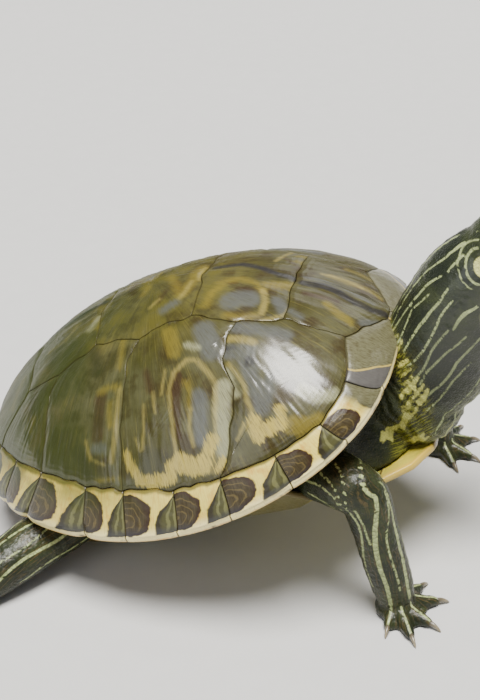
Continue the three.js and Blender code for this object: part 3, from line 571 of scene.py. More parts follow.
RIM_EDGE = 2.6
RIM_TUCK = 0.985
UNDERSIDE_END = 0.86
UNDERSIDE_DROP = 3.8
TOP_STEPS = 27
TOP_INSET = 0.0022
FRONT_NOTCH = 0.5
PLAIN_NOTCH = 0.15
NOTCH_HALF = 2.2
RIM_STEP = 0.6
# Parts of the rim's reach, and drops below it, of the rows round the lip.
LIP = ((1.001, 0.9), (1.0, 1.9), (RIM_TUCK, RIM_EDGE))


def under_rim(angle, part, drop):
    reach = rim_radius(angle) * part
    return np.stack([reach * np.cos(angle), -reach * np.sin(angle), blend(RIM_RISE, angle) - drop], axis=-1)


def seam_notch(seam):
    return NOTCH_DEPTH if NOTCH_FROM < seam < 12 else FRONT_NOTCH if 0 < seam < 4 else PLAIN_NOTCH


def rim_run(low, high, share):
    """Inner places and rim angles from one seam to the next; the nuchal plate spans both sides."""
    if high == 0:
        across = 2 * share - 1
        front = INNER_PLACES[0]
        inner = np.stack([np.full_like(across, front[0]), front[1] * across], axis=-1)
        return inner, MARGINAL_SEAMS[0] * across
    seams = low + (high - low) * share
    return inner_place(seams), rim_angle(seams)


def way_along(rows):
    """Distance run along each row of points from its start."""
    steps = np.linalg.norm(np.diff(rows, axis=1), axis=-1)
    return np.cumsum(np.concatenate([np.zeros((len(rows), 1)), steps], axis=1), axis=1)


def marginal_mesh(name, low, high, side, notches):
    """Sections stand across the rim from one seam to the next: the dome's outer strip, a round
    lip, the underside, and a wall back to the start. Seams are grooved and the rim is notched."""
    ends = rim_run(low, high, np.array([0.0, 1.0]))[1]
    radius = float(rim_radius(ends.mean()))
    length = (ends[1] - ends[0]) * radius
    steps = 2 * max(int(length / RIM_STEP / 2), 4)
    share = np.linspace(0, 1, steps + 1)
    share = share - 0.35 * np.sin(2 * np.pi * share) / (2 * np.pi)
    clear = GAP / 2 / length
    share = clear + (1 - 2 * clear) * share
    inner, angles = rim_run(low, high, share)
    inner = wander(inner * [1, side]) * [1, side]
    start, turn = np.hypot(*inner.T), np.arctan2(inner[:, 1], inner[:, 0])
    u = np.linspace(0, 1, TOP_STEPS)
    out = start[:, None] + TOP_INSET + (1 - start[:, None] - TOP_INSET) * u
    around = turn[:, None] + (angles - turn)[:, None] * u
    flat = dome(out, around)
    spans = np.linalg.norm(np.diff(flat, axis=0), axis=-1).sum(axis=0)
    ahead, behind = share * length, (1 - share) * length
    seam = np.minimum(np.minimum(share, 1 - share)[:, None] * spans, way_along(flat))
    flow = np.stack([around * ROUND_MM, out * MAP_MM, np.zeros_like(out)], axis=-1)
    lift = 0.4 * (1 - np.exp(-seam / 3)) - GROOVE * groove(seam, GROOVE_HALF)
    lift += 0.05 * np.cos(2 * np.pi * seam / 1.6) * np.exp(-seam / 4) + 0.06 * waves(flow, 5, 21)
    places = place_of(out, around)
    top = dome_at(places, lift * smoothstep(1.03, 0.9, u))
    notch = notches[0] * np.exp(-ahead / NOTCH_HALF) + notches[1] * np.exp(-behind / NOTCH_HALF)
    inward = np.stack([-np.cos(angles), np.sin(angles), np.zeros_like(angles)], axis=-1)
    top += (inward * notch[:, None])[:, None] * smoothstep(0.5, 1, u)[None, :, None]
    lip = [under_rim(angles, *row) + inward * notch[:, None] for row in LIP]
    below = []
    dip = 0.4 * groove(np.minimum(ahead, behind), 0.55)
    for t in np.linspace(0, 1, 9)[1:]:
        part = RIM_TUCK + (UNDERSIDE_END - RIM_TUCK) * t
        drop = RIM_EDGE + (UNDERSIDE_DROP - RIM_EDGE) * t**0.7
        row = under_rim(angles, part, drop) + inward * (notch * (1 - t))[:, None]
        row[:, 2] += dip
        below.append(row)
    wall_end = dome_at(inner, np.full(len(angles), -PLATE_THICKNESS))
    wall = [below[-1] + (wall_end - below[-1]) * t for t in (0.25, 0.5, 0.75, 1.0)]
    section = np.concatenate([top, np.stack([*lip, *below, *wall], axis=1)], axis=1)
    points, faces = tube(section[::-1] if side == 1 else section * [1, -1, 1])
    mesh = make_mesh(name, posed(points), faces)
    reach = way_along(section)
    full = reach[:, TOP_STEPS - 1 : TOP_STEPS]
    scale = np.concatenate([spans, np.full(reach.shape[1] - TOP_STEPS, spans[-1])])
    ahead, behind = share[:, None] * scale, (1 - share)[:, None] * scale
    greyness = {0: 1.0, 1: 1.0, 2: smoothstep(0.55, 0.25, share)[:, None]}.get(high, 0.0)
    around = np.broadcast_to(angles[:, None] * ROUND_MM, reach.shape)
    values = {
        "grey": np.broadcast_to(greyness, reach.shape),
        "ahead": ahead,
        "behind": behind,
        "down": reach / full,
        "rim": reach - full,
        "length": np.broadcast_to(scale, reach.shape),
        "depth": np.minimum(np.minimum(ahead, behind), np.maximum(reach, 0.05)),
        "flow": np.stack([around, reach, np.zeros(reach.shape)], axis=-1),
    }
    if side == 1:
        values = {key: value[::-1] for key, value in values.items()}
    add_values(mesh, with_ends(values))
    return mesh


# ---- Plastron: rows across the belly, each plate a closed slab with a seam down its middle ----

PLASTRON_DEPTH = -27.0
PLASTRON_REAR_RISE = 7.0
PLASTRON_FRONT_DROP = 3.5
PLASTRON_THICKNESS = 3.0
PLASTRON_FLAT_HALF = 39.0
LOBE_LIFT = 1.0
LOBE_FLAT_PART = 0.75
BRIDGE_OUT = 0.84
BRIDGE = 0
# Rows of (place along the shell, half-width), where a half-width of 0 is the bridge.
PLASTRON_ROWS = {
    "gular": [(80, 15), (73, 26), (62, 33)],
    "humeral": [(62, 33), (52, 37), (42, 39)],
    "pectoral": [(42, 39), (32, BRIDGE), (13, BRIDGE)],
    "abdominal": [(13, BRIDGE), (-8, BRIDGE), (-27, BRIDGE), (-35, 41)],
    "femoral": [(-35, 41), (-47, 41), (-58, 39)],
    "anal": [(-58, 39), (-70, 32), (-79, 21)],
}


def plastron_level(x):
    rise = PLASTRON_REAR_RISE * np.clip(-x / RIM_REAR, 0, 1) ** 1.5
    return PLASTRON_DEPTH + rise - PLASTRON_FRONT_DROP * np.clip(x / RIM_FRONT, 0, 1) ** 1.5


def bridge_edge(x):
    angle = math.pi / 2
    for _ in range(20):
        angle = math.acos(x / (BRIDGE_OUT * float(rim_radius(angle))))
    return under_rim(np.array(angle), BRIDGE_OUT, UNDERSIDE_DROP)


def plastron_profile(x, half):
    """Right half of one row as four points from the edge to the middle, as (y, z)."""
    level = float(plastron_level(x))
    flat = PLASTRON_FLAT_HALF if half == BRIDGE else half * LOBE_FLAT_PART
    if half == BRIDGE:
        edge = bridge_edge(x)
        outer = (-edge[1], edge[2])
    else:
        outer = (half, level + LOBE_LIFT)
    return np.array([(0, level), (flat / 2, level), (flat, level), outer])


def plastron_mesh(name, rows):
    """Rows are blended between the named ones; across a row the height bends up to the edge
    through a rounded corner. Seams and the midline are grooved, and the slab is closed."""
    places = np.array([row[0] for row in rows], dtype=float)
    profiles = np.array([plastron_profile(*row) for row in rows])
    count = max(int((places[0] - places[-1]) / 1.0), 10)
    xs = np.linspace(places[0] - GAP / 2, places[-1] + GAP / 2, count + 1)
    spans = [np.interp(-xs, -places, profiles[:, k, j]) for k in range(4) for j in range(2)]
    spans = np.array(spans).reshape(4, 2, -1)
    t = np.linspace(0, 1, 61) ** 0.9
    knots = [0, 0.3, 0.62, 1.0]
    y, z = (np.array([np.interp(t, knots, row) for row in spans[:, j].T]) for j in range(2))
    corner = spans[2, 0][:, None]
    z = z + hump(y, corner, 5) * (spans[3, 1] - spans[2, 1])[:, None] * 0.06
    y = np.concatenate([-y[:, :0:-1], y], axis=1)
    z = np.concatenate([z[:, :0:-1], z], axis=1)
    x = np.broadcast_to(xs[:, None], y.shape)
    seam = np.minimum(np.minimum(places[0] - x, x - places[-1]), np.abs(y))
    edge = np.abs(np.broadcast_to(np.abs(y[:, :1]), y.shape) - np.abs(y))
    lower = z + 0.35 * groove(seam, 0.5) - 0.25 * (1 - np.exp(-seam / 5))
    lower += 0.04 * np.cos(2 * np.pi * seam / 2.1) * np.exp(-seam / 9) + 0.5 * np.exp(-edge / 0.8)
    upper = z + PLASTRON_THICKNESS - 0.5 * np.exp(-edge / 0.8)
    down = posed(np.stack([x, -y, lower], axis=-1))
    down[..., 2] = np.maximum(down[..., 2], 0.02)
    over = posed(np.stack([x, -y, upper], axis=-1))
    over[..., 2] = np.maximum(over[..., 2], down[..., 2] + 0.5)
    rings = np.concatenate([down, over[:, ::-1]], axis=1)
    points, faces = tube(rings[::-1])
    mesh = make_mesh(name, points, faces)
    place = np.stack([x, y, (x - places[-1]) / (places[0] - places[-1])], axis=-1)
    values = {"depth": seam, "rim": edge, "flow": place}
    values = {key: np.concatenate([value, value[:, ::-1]], axis=1)[::-1] for key, value in values.items()}
    add_values(mesh, with_ends(values))
    return mesh


# ---- Materials ----


class Net:
    """Adds nodes to a tree; each call takes numbers, colours or sockets and gives a socket."""

    def __init__(self, tree):
        self.tree = tree

    def put(self, socket, value):
        if isinstance(value, bpy.types.NodeSocket):
            self.tree.links.new(value, socket)
            return
        if hasattr(socket.default_value, "__len__") and not hasattr(value, "__len__"):
            value = (value,) * len(socket.default_value)
        if hasattr(value, "__len__") and len(socket.default_value) == 4 and len(value) == 3:
            value = (*value, 1.0)
        socket.default_value = value

    def fill(self, sockets, **given):
        """Puts each value into the socket of its name, where _ stands for a space."""
        for key, value in given.items():
            self.put(sockets[key.replace("_", " ")], value)

    def node(self, kind, given=(), **settings):
        """A node with its settings made, then its inputs filled by name or number."""
        made = self.tree.nodes.new(kind)
        for key, value in settings.items():
            setattr(made, key, value)
        for key, value in dict(given).items():
            self.put(made.inputs[key], value)
        return made

    def math(self, operation, *values):
        return self.node("ShaderNodeMath", enumerate(values), operation=operation).outputs[0]

    def plus(self, first, second):
        return self.math("ADD", first, second)

    def minus(self, first, second):
        return self.math("SUBTRACT", first, second)

    def over(self, first, second):
        return self.math("DIVIDE", first, second)

    def size(self, value):
        return self.math("ABSOLUTE", value)

    def times(self, product, *factors):
        for factor in factors:
            product = self.math("MULTIPLY", product, factor)
        return product

    def mix(self, share, first, second):
        return self.node("ShaderNodeMix", {0: share, 6: first, 7: second}, data_type="RGBA").outputs[2]

    def layers(self, color, *laid):
        """The colour, with each (share, tint) laid over what is there so far."""
        for share, tint in laid:
            color = self.mix(share, color, tint)
        return color

    def fade(self, value, low, high, to_low=0.0, to_high=1.0):
        given = enumerate((value, low, high, to_low, to_high))
        return self.node("ShaderNodeMapRange", given, interpolation_type="SMOOTHSTEP").outputs[0]

    def band(self, value, middle, low, high, strength):
        """Full strength near a middle value, fading between two distances from it."""
        return self.fade(self.size(self.minus(value, middle)), low, high, strength, 0.0)

    def noise(self, vector, scale, detail=3.0, roughness=0.55, output=0):
        given = {"Vector": vector, "Scale": scale, "Detail": detail, "Roughness": roughness}
        return self.node("ShaderNodeTexNoise", given).outputs[output]

    def stretched(self, vector, scale):
        return self.node("ShaderNodeMapping", {"Vector": vector, "Scale": scale}).outputs[0]

    def streaks(self, vector, scale, detail, roughness=0.55):
        """Noise with a scale of its own along each axis, which draws it out."""
        return self.noise(self.stretched(vector, scale), 1.0, detail, roughness)

    def value(self, name, output="Fac"):
        made = self.node("ShaderNodeAttribute", attribute_type="GEOMETRY", attribute_name=name)
        return made.outputs[output]

    def vector(self, name):
        return self.value(name, "Vector")

    def split(self, vector):
        return self.node("ShaderNodeSeparateXYZ", {0: vector}).outputs

    def place(self):
        return self.node("ShaderNodeTexCoord").outputs["Object"]

    def seen_flat(self, square_on, at_edge):
        """A weight that goes from one value, seen square on, to another at a grazing angle."""
        facing = self.node("ShaderNodeLayerWeight", {"Blend": 0.5}).outputs["Facing"]
        return self.fade(facing, 0.45, 0.85, square_on, at_edge)

    def bump(self, height, strength, distance):
        given = {"Strength": strength, "Distance": distance, "Height": height}
        return self.node("ShaderNodeBump", given).outputs[0]

    def group(self, tree, **given):
        return self.node("ShaderNodeGroup", given, node_tree=tree).outputs


def new_group(name, vectors, numbers, results):
    """A node group that takes the named vectors and numbers and gives the named numbers."""
    tree = bpy.data.node_groups.new(name, "ShaderNodeTree")
    sockets = [(label, "INPUT", "Vector") for label in vectors]
    sockets += [(label, "INPUT", "Float") for label in numbers]
    sockets += [(label, "OUTPUT", "Float") for label in results]
    for label, direction, kind in sockets:
        tree.interface.new_socket(name=label, in_out=direction, socket_type="NodeSocket" + kind)
    net = Net(tree)
    return net, net.node("NodeGroupInput").outputs, net.node("NodeGroupOutput").inputs


def new_material(name, roughness, **shader):
    material = bpy.data.materials.new(name)
    material.use_nodes = True
    net = Net(material.node_tree)
    surface = material.node_tree.nodes["Principled BSDF"].inputs
    net.fill(surface, Roughness=roughness, **shader)
    return material, net, surface


def mark_group():
    """Mask of a mark: its distance, made ragged and fingered by noise along the flow, then soft."""
    numbers = ["Distance", "Ragged", "Fingers", "Soft"]
    net, given, out = new_group("mark mask", ["Flow"], numbers, ["Mask"])
    coarse = net.streaks(given["Flow"], (0.5, 0.16, 0.5), 4)
    fingers = net.streaks(given["Flow"], (1.5, 0.11, 1.0), 3)
    moved = given["Distance"]
    for noise, amount in ((coarse, given["Ragged"]), (fingers, given["Fingers"])):
        moved = net.plus(moved, net.times(net.minus(noise, 0.5), amount))
    soft = given["Soft"]
    net.fill(out, Mask=net.fade(moved, net.times(soft, -1.0), soft, 1.0, 0.0))
    return net.tree


def wear_group():
    """Height of growth lines, ribs and fine scratches in horn, and the haze that they leave."""
    net, given, out = new_group("horn relief", ["Flow"], ["Depth", "Ribs"], ["Height", "Haze"])
    flow, depth = given["Flow"], given["Depth"]
    ribs = net.streaks(flow, (1.5, 0.14, 1.0), 5, 0.62)
    scratches = net.streaks(flow, (5.0, 0.5, 1.0), 3)
    sway = net.streaks(flow, (0.09, 0.09, 0.1), 2)
    ring = net.plus(depth, net.times(sway, 2.6))
    lines = net.times(net.math("SINE", net.times(ring, 5.2)), net.fade(depth, 1.0, 11.0, 1.0, 0.12))
    height = net.plus(net.times(ribs, given["Ribs"]), net.times(lines, 0.06))
    height = net.plus(height, net.times(scratches, 0.22))
    net.fill(out, Height=height, Haze=net.fade(scratches, 0.35, 0.7))
    return net.tree


def algae_group():
    """Green film that thickens towards the low rear of the shell, broken up by noise."""
    net, given, out = new_group("algae film", ["Place"], [], ["Mask"])
    rear = net.fade(net.split(given["Place"])["X"], 0.004, -0.064)
    patch = net.noise(given["Place"], 55.0, 5, 0.6)
    net.fill(out, Mask=net.times(rear, net.fade(patch, 0.22, 0.56)))
    return net.tree


MARK_MASK = mark_group()
HORN_RELIEF = wear_group()
ALGAE_FILM = algae_group()

OLIVE = (0.040, 0.036, 0.006)
BROWN = (0.030, 0.019, 0.004)
GREY_OLIVE = (0.070, 0.067, 0.028)
TAN = (0.132, 0.112, 0.026)
GOLDEN = (0.102, 0.087, 0.011)
THREAD_DARK = (0.022, 0.018, 0.006)
SEAM_DARK = (0.030, 0.024, 0.010)
ALGAE = (0.022, 0.033, 0.004)
RIM_CREAM = (0.66, 0.54, 0.110)
RIM_OCHRE = (0.50, 0.30, 0.045)
RIM_AMBER = (0.52, 0.25, 0.030)
RIM_WHITE = (0.86, 0.74, 0.33)
RIM_ORANGE = (0.52, 0.22, 0.030)
RIM_GREY = (0.120, 0.116, 0.062)
RIM_STAIN = (0.06, 0.045, 0.018)
BELLY_YELLOW = (0.50, 0.42, 0.045)
BELLY_PALE = (0.56, 0.50, 0.11)
BELLY_AMBER = (0.56, 0.30, 0.045)
# Painted shade: the bridge's colour when darkened all over, as if in the shadow under the rim.
BRIDGE_PAINTED_SHADE = (0.040, 0.032, 0.015)
BELLY_SEAM = (0.12, 0.075, 0.03)
# Each kind of mark: its colour, how strong, ragged, fingered and soft it is.
MARK_LOOKS = {
    "shade": ((0.022, 0.020, 0.006), 0.82, 2.6, 3.0, 1.6),
    "rust": ((0.030, 0.010, 0.003), 0.85, 1.6, 2.0, 1.0),
    "gold": ((0.20, 0.155, 0.020), 0.66, 2.4, 2.4, 1.2),
    "slate": ((0.085, 0.090, 0.085), 0.85, 2.2, 2.0, 1.3),
    "mist": ((0.30, 0.30, 0.17), 0.76, 1.8, 1.8, 1.0),
    "band": ((0.42, 0.33, 0.065), 0.88, 2.4, 5.5, 0.7),
    "line": ((0.32, 0.26, 0.070), 0.62, 1.4, 0.9, 0.8),
    "ink": ((0.014, 0.013, 0.018), 0.95, 1.1, 0.8, 0.8),
}


def finish_horn(net, surface, color, flow, depth, ribs, haze, base, bump, tall):
    """Puts in a horn's colour, a base roughness with haze on it, and growth that stands tall metres."""
    grown = net.group(HORN_RELIEF, Flow=flow, Depth=depth, Ribs=ribs)
    rough = net.plus(net.times(grown["Haze"], haze), base)
    net.fill(surface, Base_Color=color, Roughness=rough, Normal=net.bump(grown["Height"], bump, tall))


def back_material():
    """Horn of the back plates: streaked olive, with its marks laid over by their masks."""
    material, net, surface = new_material("back_horn", 0.38, Specular_IOR_Level=0.1, Coat_Roughness=0.2)
    place, flow, depth = net.place(), net.vector("flow"), net.value("depth")
    broad = net.noise(place, 45.0, 4)
    patch = net.noise(place, 110.0, 4, 0.6)
    streak = net.streaks(flow, (0.75, 0.06, 0.5), 5, 0.6)
    thread = net.streaks(flow, (2.8, 0.2, 0.5), 4, 0.65)
    central = net.fade(net.split(flow)["Y"], 36.0, 18.0)
    color = net.layers(
        OLIVE,
        (net.fade(broad, 0.36, 0.62), GREY_OLIVE),
        (net.fade(patch, 0.46, 0.66, 0.0, 0.8), BROWN),
        (net.times(central, net.fade(patch, 0.62, 0.38, 0.15, 0.75)), GOLDEN),
        (net.fade(streak, 0.52, 0.74, 0.0, 0.7), TAN),
        (net.fade(streak, 0.46, 0.28, 0.0, 0.6), BROWN),
    )
    for name, (tint, strength, ragged, fingers, soft) in MARK_LOOKS.items():
        given = {"Ragged": ragged, "Fingers": fingers, "Soft": soft}
        mask = net.group(MARK_MASK, Distance=net.value(name), Flow=flow, **given)["Mask"]
        worn = net.fade(thread, 0.38, 0.68, strength, strength * 0.55)
        color = net.mix(net.times(mask, worn), color, tint)
    film = net.group(ALGAE_FILM, Place=place)["Mask"]
    color = net.layers(
        color,
        (net.fade(thread, 0.53, 0.72, 0.0, 0.55), THREAD_DARK),
        (net.fade(thread, 0.44, 0.30, 0.0, 0.35), TAN),
        (net.times(film, 0.74), ALGAE),
        (net.fade(depth, 0.02, 0.4, 0.5, 0.0), SEAM_DARK),
    )
    finish_horn(net, surface, color, flow, depth, ribs=0.75, haze=0.14, base=0.36, bump=0.4, tall=0.0004)
    coat = net.times(net.seen_flat(0.9, 0.1), net.fade(depth, 0.1, 0.9, 0.15, 1.0))
    net.fill(surface, Coat_Weight=coat)
    return material


def rim_material():
    """Horn of the rim plates: cream bars between dark blotches that straddle the seams.

    Ahead of a seam the blotch is a wide half-oval with rings; behind it, a narrower striped leaf.
    The grey front plates have a pale line ahead of the seam in place of the blotches."""
    wet = {"Specular_IOR_Level": 0.25, "Coat_Weight": 0.35, "Coat_Roughness": 0.2}
    material, net, surface = new_material("rim_horn", 0.34, **wet)
    place, flow, depth = net.place(), net.vector("flow"), net.value("depth")
    ahead, behind, grey = net.value("ahead"), net.value("behind"), net.value("grey")
    down, rim, length = net.value("down"), net.value("rim"), net.value("length")
    wobble = net.minus(net.noise(place, 200.0, 3), 0.5)
    streak = net.streaks(flow, (1.3, 0.14, 0.5), 4, 0.6)
    fine = net.streaks(flow, (3.0, 0.4, 0.5), 3, 0.6)

    def oval(along, reach, centre, tall, power):
        """Distance out from an oval's middle, where 1 is its edge."""
        x = net.math("POWER", net.size(net.over(along, net.times(length, reach))), power)
        y = net.math("POWER", net.size(net.over(net.minus(down, centre), tall)), power)
        return net.plus(net.math("POWER", net.plus(x, y), 1 / power), net.times(wobble, 0.4))

    cream = net.layers(
        RIM_CREAM,
        (net.fade(streak, 0.45, 0.7, 0.0, 0.6), RIM_OCHRE),
        (net.fade(wobble, 0.02, 0.2, 0.0, 0.5), RIM_AMBER),
        (net.fade(down, 0.72, 0.98), RIM_WHITE),
        (net.fade(net.plus(down, net.times(wobble, 0.12)), 0.04, 0.12, 0.85, 0.0), (0.10, 0.085, 0.018)),
    )
    big = oval(behind, 0.52, 0.52, 0.44, 2.5)
    rounds = net.times(oval(behind, 0.62, 0.64, 0.52, 2.0), 27.0)
    rings = net.times(net.fade(net.math("SINE", rounds), 0.62, 1.0), net.fade(big, 0.92, 0.7))
    dark = net.layers(
        (0.030, 0.021, 0.007),
        (net.fade(streak, 0.4, 0.65), (0.050, 0.037, 0.014)),
        (net.times(rings, 0.55), (0.130, 0.096, 0.030)),
        (net.fade(big, 0.74, 0.95, 0.0, 0.85), (0.024, 0.009, 0.003)),
        (net.fade(down, 0.72, 0.95, 0.0, 0.7), (0.018, 0.018, 0.026)),
    )
    width = net.math("POWER", net.fade(down, 0.04, 0.74), 0.75)
    leaf = net.over(ahead, net.times(length, 0.41, net.math("MAXIMUM", width, 0.02)))
    leaf = net.math("MAXIMUM", leaf, net.fade(down, 0.86, 0.98, 0.0, 1.05))
    leaf = net.plus(leaf, net.times(wobble, 0.5))
    striped = net.layers(
        (0.052, 0.050, 0.015),
        (net.fade(net.math("SINE", net.times(leaf, 17.0)), -0.2, 0.8), (0.120, 0.118, 0.043)),
        (net.fade(leaf, 0.66, 0.80), (0.022, 0.018, 0.007)),
        (net.fade(down, 0.75, 0.92, 0.0, 0.7), (0.034, 0.035, 0.038)),
    )
    slant = net.times(length, 0.34, net.fade(down, 0.0, 1.0, 0.35, 1.0))
    before = net.minus(behind, net.plus(slant, net.times(wobble, 1.4)))
    plain = net.layers(
        RIM_GREY,
        (net.fade(fine, 0.4, 0.65), (0.070, 0.062, 0.028)),
        (net.fade(before, 0.0, 0.6, 0.8, 0.0), (0.075, 0.070, 0.074)),
        (net.fade(net.size(before), 0.25, 0.7, 0.9, 0.0), (0.42, 0.32, 0.075)),
    )
    film = net.times(net.group(ALGAE_FILM, Place=place)["Mask"], net.fade(down, 0.7, 0.1, 0.0, 0.75))
    color = net.layers(
        cream,
        (net.fade(leaf, 0.95, 1.06, 1.0, 0.0), striped),
        (net.fade(big, 0.96, 1.03, 1.0, 0.0), dark),
        (net.times(grey, net.fade(down, 0.99, 1.04, 1.0, 0.0)), plain),
        (net.band(rim, 0.3, 0.3, 1.1, 0.8), RIM_WHITE),
        (net.fade(net.plus(rim, net.times(wobble, 2.0)), 1.0, 2.4, 0.0, 0.8), RIM_ORANGE),
        (net.fade(fine, 0.55, 0.75, 0.0, 0.3), RIM_STAIN),
        (film, ALGAE),
        (net.fade(depth, 0.05, 0.5, 0.85, 0.0), SEAM_DARK),
    )
    finish_horn(net, surface, color, flow, depth, ribs=0.35, haze=0.14, base=0.29, bump=0.35, tall=0.0004)
    return material


def belly_material():
    """Horn of the belly plates: yellow, with a soft dark smudge on each half of a plate.

    The plate behind the throat is plain, and so is the bridge, which is darkened all over as painted shade,
    the shadow under the rim."""
    material, net, surface = new_material("belly_horn", 0.36, Coat_Weight=0.25, Coat_Roughness=0.2)
    place, flow, depth = net.place(), net.vector("flow"), net.value("depth")
    _, y, share = net.split(flow)
    aside, ahead = net.size(y), net.split(place)["X"]
    wobble = net.noise(place, 150.0, 4)
    clouds = net.noise(place, 60.0, 4)
    x = net.over(net.minus(aside, 19.0), 12.5)
    y = net.over(net.minus(share, 0.45), 0.34)
    far = net.math("SQRT", net.plus(net.times(x, x), net.times(y, y)))
    far = net.plus(far, net.times(net.minus(wobble, 0.5), 0.9))
    smudge = net.mix(net.band(far, 0.5, 0.05, 0.16, 0.75), (0.045, 0.030, 0.014), (0.18, 0.12, 0.04))
    behind_throat = net.fade(ahead, 0.050, 0.054, 0.9, 0.0)
    bridge = net.fade(net.plus(aside, net.times(wobble, 5.0)), 36.0, 40.0, 0.0, 0.85)
    color = net.layers(
        BELLY_YELLOW,
        (net.fade(clouds, 0.35, 0.7), BELLY_PALE),
        (net.fade(net.value("rim"), 0.5, 4.0, 0.45, 0.0), BELLY_AMBER),
        (net.times(net.fade(far, 0.8, 1.0, 1.0, 0.0), behind_throat), smudge),
        # Painted shade: the bridge darkens all over, for the shadow under the rim.
        (net.times(bridge, net.fade(ahead, 0.044, 0.050, 1.0, 0.0)), BRIDGE_PAINTED_SHADE),
        (net.fade(depth, 0.1, 0.6, 0.8, 0.0), BELLY_SEAM),
    )
    finish_horn(net, surface, color, flow, depth, ribs=0.25, haze=0.16, base=0.30, bump=0.4, tall=0.0005)
    return material


def build_shell():
    back = back_material()
    rim = rim_material()
    belly = belly_material()
    for plate in range(1, 6):
        name = f"vertebral_{plate}"
        mesh = plate_mesh("plate_" + name, back_outline(plate), MARKS[name], 1)
        add_piece(mesh, back, ["carapace_" + name])
    for word, side in SIDES:
        for plate in range(1, 5):
            name = f"pleural_{word}_{plate}"
            mesh = plate_mesh("plate_" + name, side_outline(plate, side), MARKS[f"pleural_{plate}"], side)
            add_piece(mesh, back, ["carapace_" + name])
        for plate in range(1, 13):
            name = f"marginal_{word}_{plate}"
            notches = (seam_notch(plate - 1), seam_notch(plate))
            mesh = marginal_mesh("plate_" + name, plate - 1, plate, side, notches)
            add_piece(mesh, rim, ["carapace_" + name])
    mesh = marginal_mesh("plate_nuchal", -1, 0, 1, (PLAIN_NOTCH, PLAIN_NOTCH))
    add_piece(mesh, rim, ["carapace_nuchal"])
    for name, rows in PLASTRON_ROWS.items():
        add_piece(plastron_mesh(f"plate_{name}", rows), belly, [f"plastron_{name}"])


build_shell()


# ---- Flesh: closed tubes in the floor's frame, merged into one skin ----

# How far the left feet stand ahead of the right ones.
LEFT_STEP = 5.0
# Rows are (x, out to the side, z, half-width, half-height).
FORELEG = [
    (44, 34.5, 48, 11, 10), (58, 47.5, 52.5, 9.8, 9.6), (64, 49.5, 49.5, 8.6, 9),
    (67.5, 50.5, 39, 7.8, 8.2), (71, 51, 25, 7.6, 8), (74, 51, 13, 6.8, 7.6), (76, 51, 4.5, 5.6, 6.2),
]
HINDLEG = [
    (-40, 30, 22, 10, 8), (-52, 43, 17.5, 10.5, 8), (-62, 54, 14.5, 10.5, 8.6), (-71, 65, 11, 9.4, 8),
    (-78, 74, 7.4, 7.4, 6.2), (-83, 79, 4.6, 6.2, 4.4),
]
TAIL = [
    (-58, 0, 15, 10, 9), (-70, 0, 13, 9, 8), (-83, 0, 9.4, 6.8, 6.2), (-95, -1, 5.6, 4.7, 4.5),
    (-106, -3.5, 2.9, 3.1, 3), (-115, -6.5, 1.6, 1.8, 1.7), (-119, -8, 1, 0.8, 0.8),
]
# Neck rows are (x, z, half-width, half-depth, degrees that its way rises).
NECK = [
    (60, 60, 19, 18, 20), (74, 68.5, 20.5, 19.5, 32), (84, 80, 20, 21.5, 52), (90, 94, 18.5, 20.5, 60),
    (95, 107, 16.5, 18, 52), (101, 116, 14.5, 14.5, 30), (106, 119, 12.5, 12, 10),
]
HEAD_AT = np.array([95, 0, 120.5])
HEAD_RISE = math.radians(6)
HEAD_WAY = np.array([math.cos(HEAD_RISE), 0, math.sin(HEAD_RISE)])
HEAD_UP = np.array([-math.sin(HEAD_RISE), 0, math.cos(HEAD_RISE)])
# Head rows are (along, half-width, top, bottom, squareness).
HEAD = [
    (0, 10.5, 9, 9.5, 2.2), (3.5, 13, 11.4, 12, 2.2), (9, 14.4, 12.3, 12.4, 2.3),
    (15, 14.3, 12.4, 11.8, 2.4), (21, 13, 12.2, 11, 2.5), (26, 11.4, 11.6, 10.4, 2.5),
    (30, 9.7, 10, 9.8, 2.4), (34, 7.8, 7.2, 9, 2.3), (37.2, 5.7, 4, 7.6, 2.2), (39, 3.2, 1.6, 5.9, 2),
]
EYE_ALONG = 28.6
EYE_OUT = 6.9
EYE_UP = 4.2
EYE_RADIUS = 4.2
# Half-length of the lids' opening, and its reach above and below the eye's middle.
LID_REACH = 3.6
LID_RISE = 2.95
LID_DROP = 2.8

# Each foot's toes: lengths, degrees apart, thickness, how far out the web reaches, and how
# many toes have no claw; then where its ankle stands and the degrees that it heads.
FEET = {
    "foreleg": {
        "lengths": (19, 20, 19, 20, 15),
        "spread": (62, 26, -22, -58, -92),
        "toe": 2.3,
        "web": 0.62,
        "bare": 0,
        "ankle": (75.0, 51.0),
        "heading": -4.0,
    },
    "hindleg": {
        "lengths": (22, 27, 29, 27, 21),
        "spread": (-38, -18, 0, 18, 38),
        "toe": 2.4,
        "web": 0.86,
        "bare": 1,
        "ankle": (-80.0, 76.0),
        "heading": -148.0,
    },
}
# The throat's pouch of loose skin, in the shell's frame.
THROAT_AT = np.array([77.0, 0, -17.0])
THROAT_SIZE = np.array([16, 19, 15])
TOES = 5
TOE_COUNT = 16
CLAW_LENGTH = 5.0
CLAW_ROOT = 0.6
CLAW_ROWS = 14
# How deep the flesh lies under the dome, and the gap that it keeps over the belly plates.
SKIN_DEPTH = 3.3
BELLY_CLEAR = 0.9
TRUNK_COUNT = 120
WEB_PART = 0.76
# Middles and half-sizes of the nostrils (out, up) and the eardrums (along, up).
NOSTRIL_AT = (1.4, 0.9)
NOSTRIL_SIZE = (0.5, 0.45)
DRUM_AT = (13.2, 0.2)
DRUM_SIZE = (4.0, 3.6)
# The corner of the mouth, along the head, and where the neck's skin ends and the head's starts.
MOUTH_CORNER = 17.0
HEAD_FLOOR = 100.0


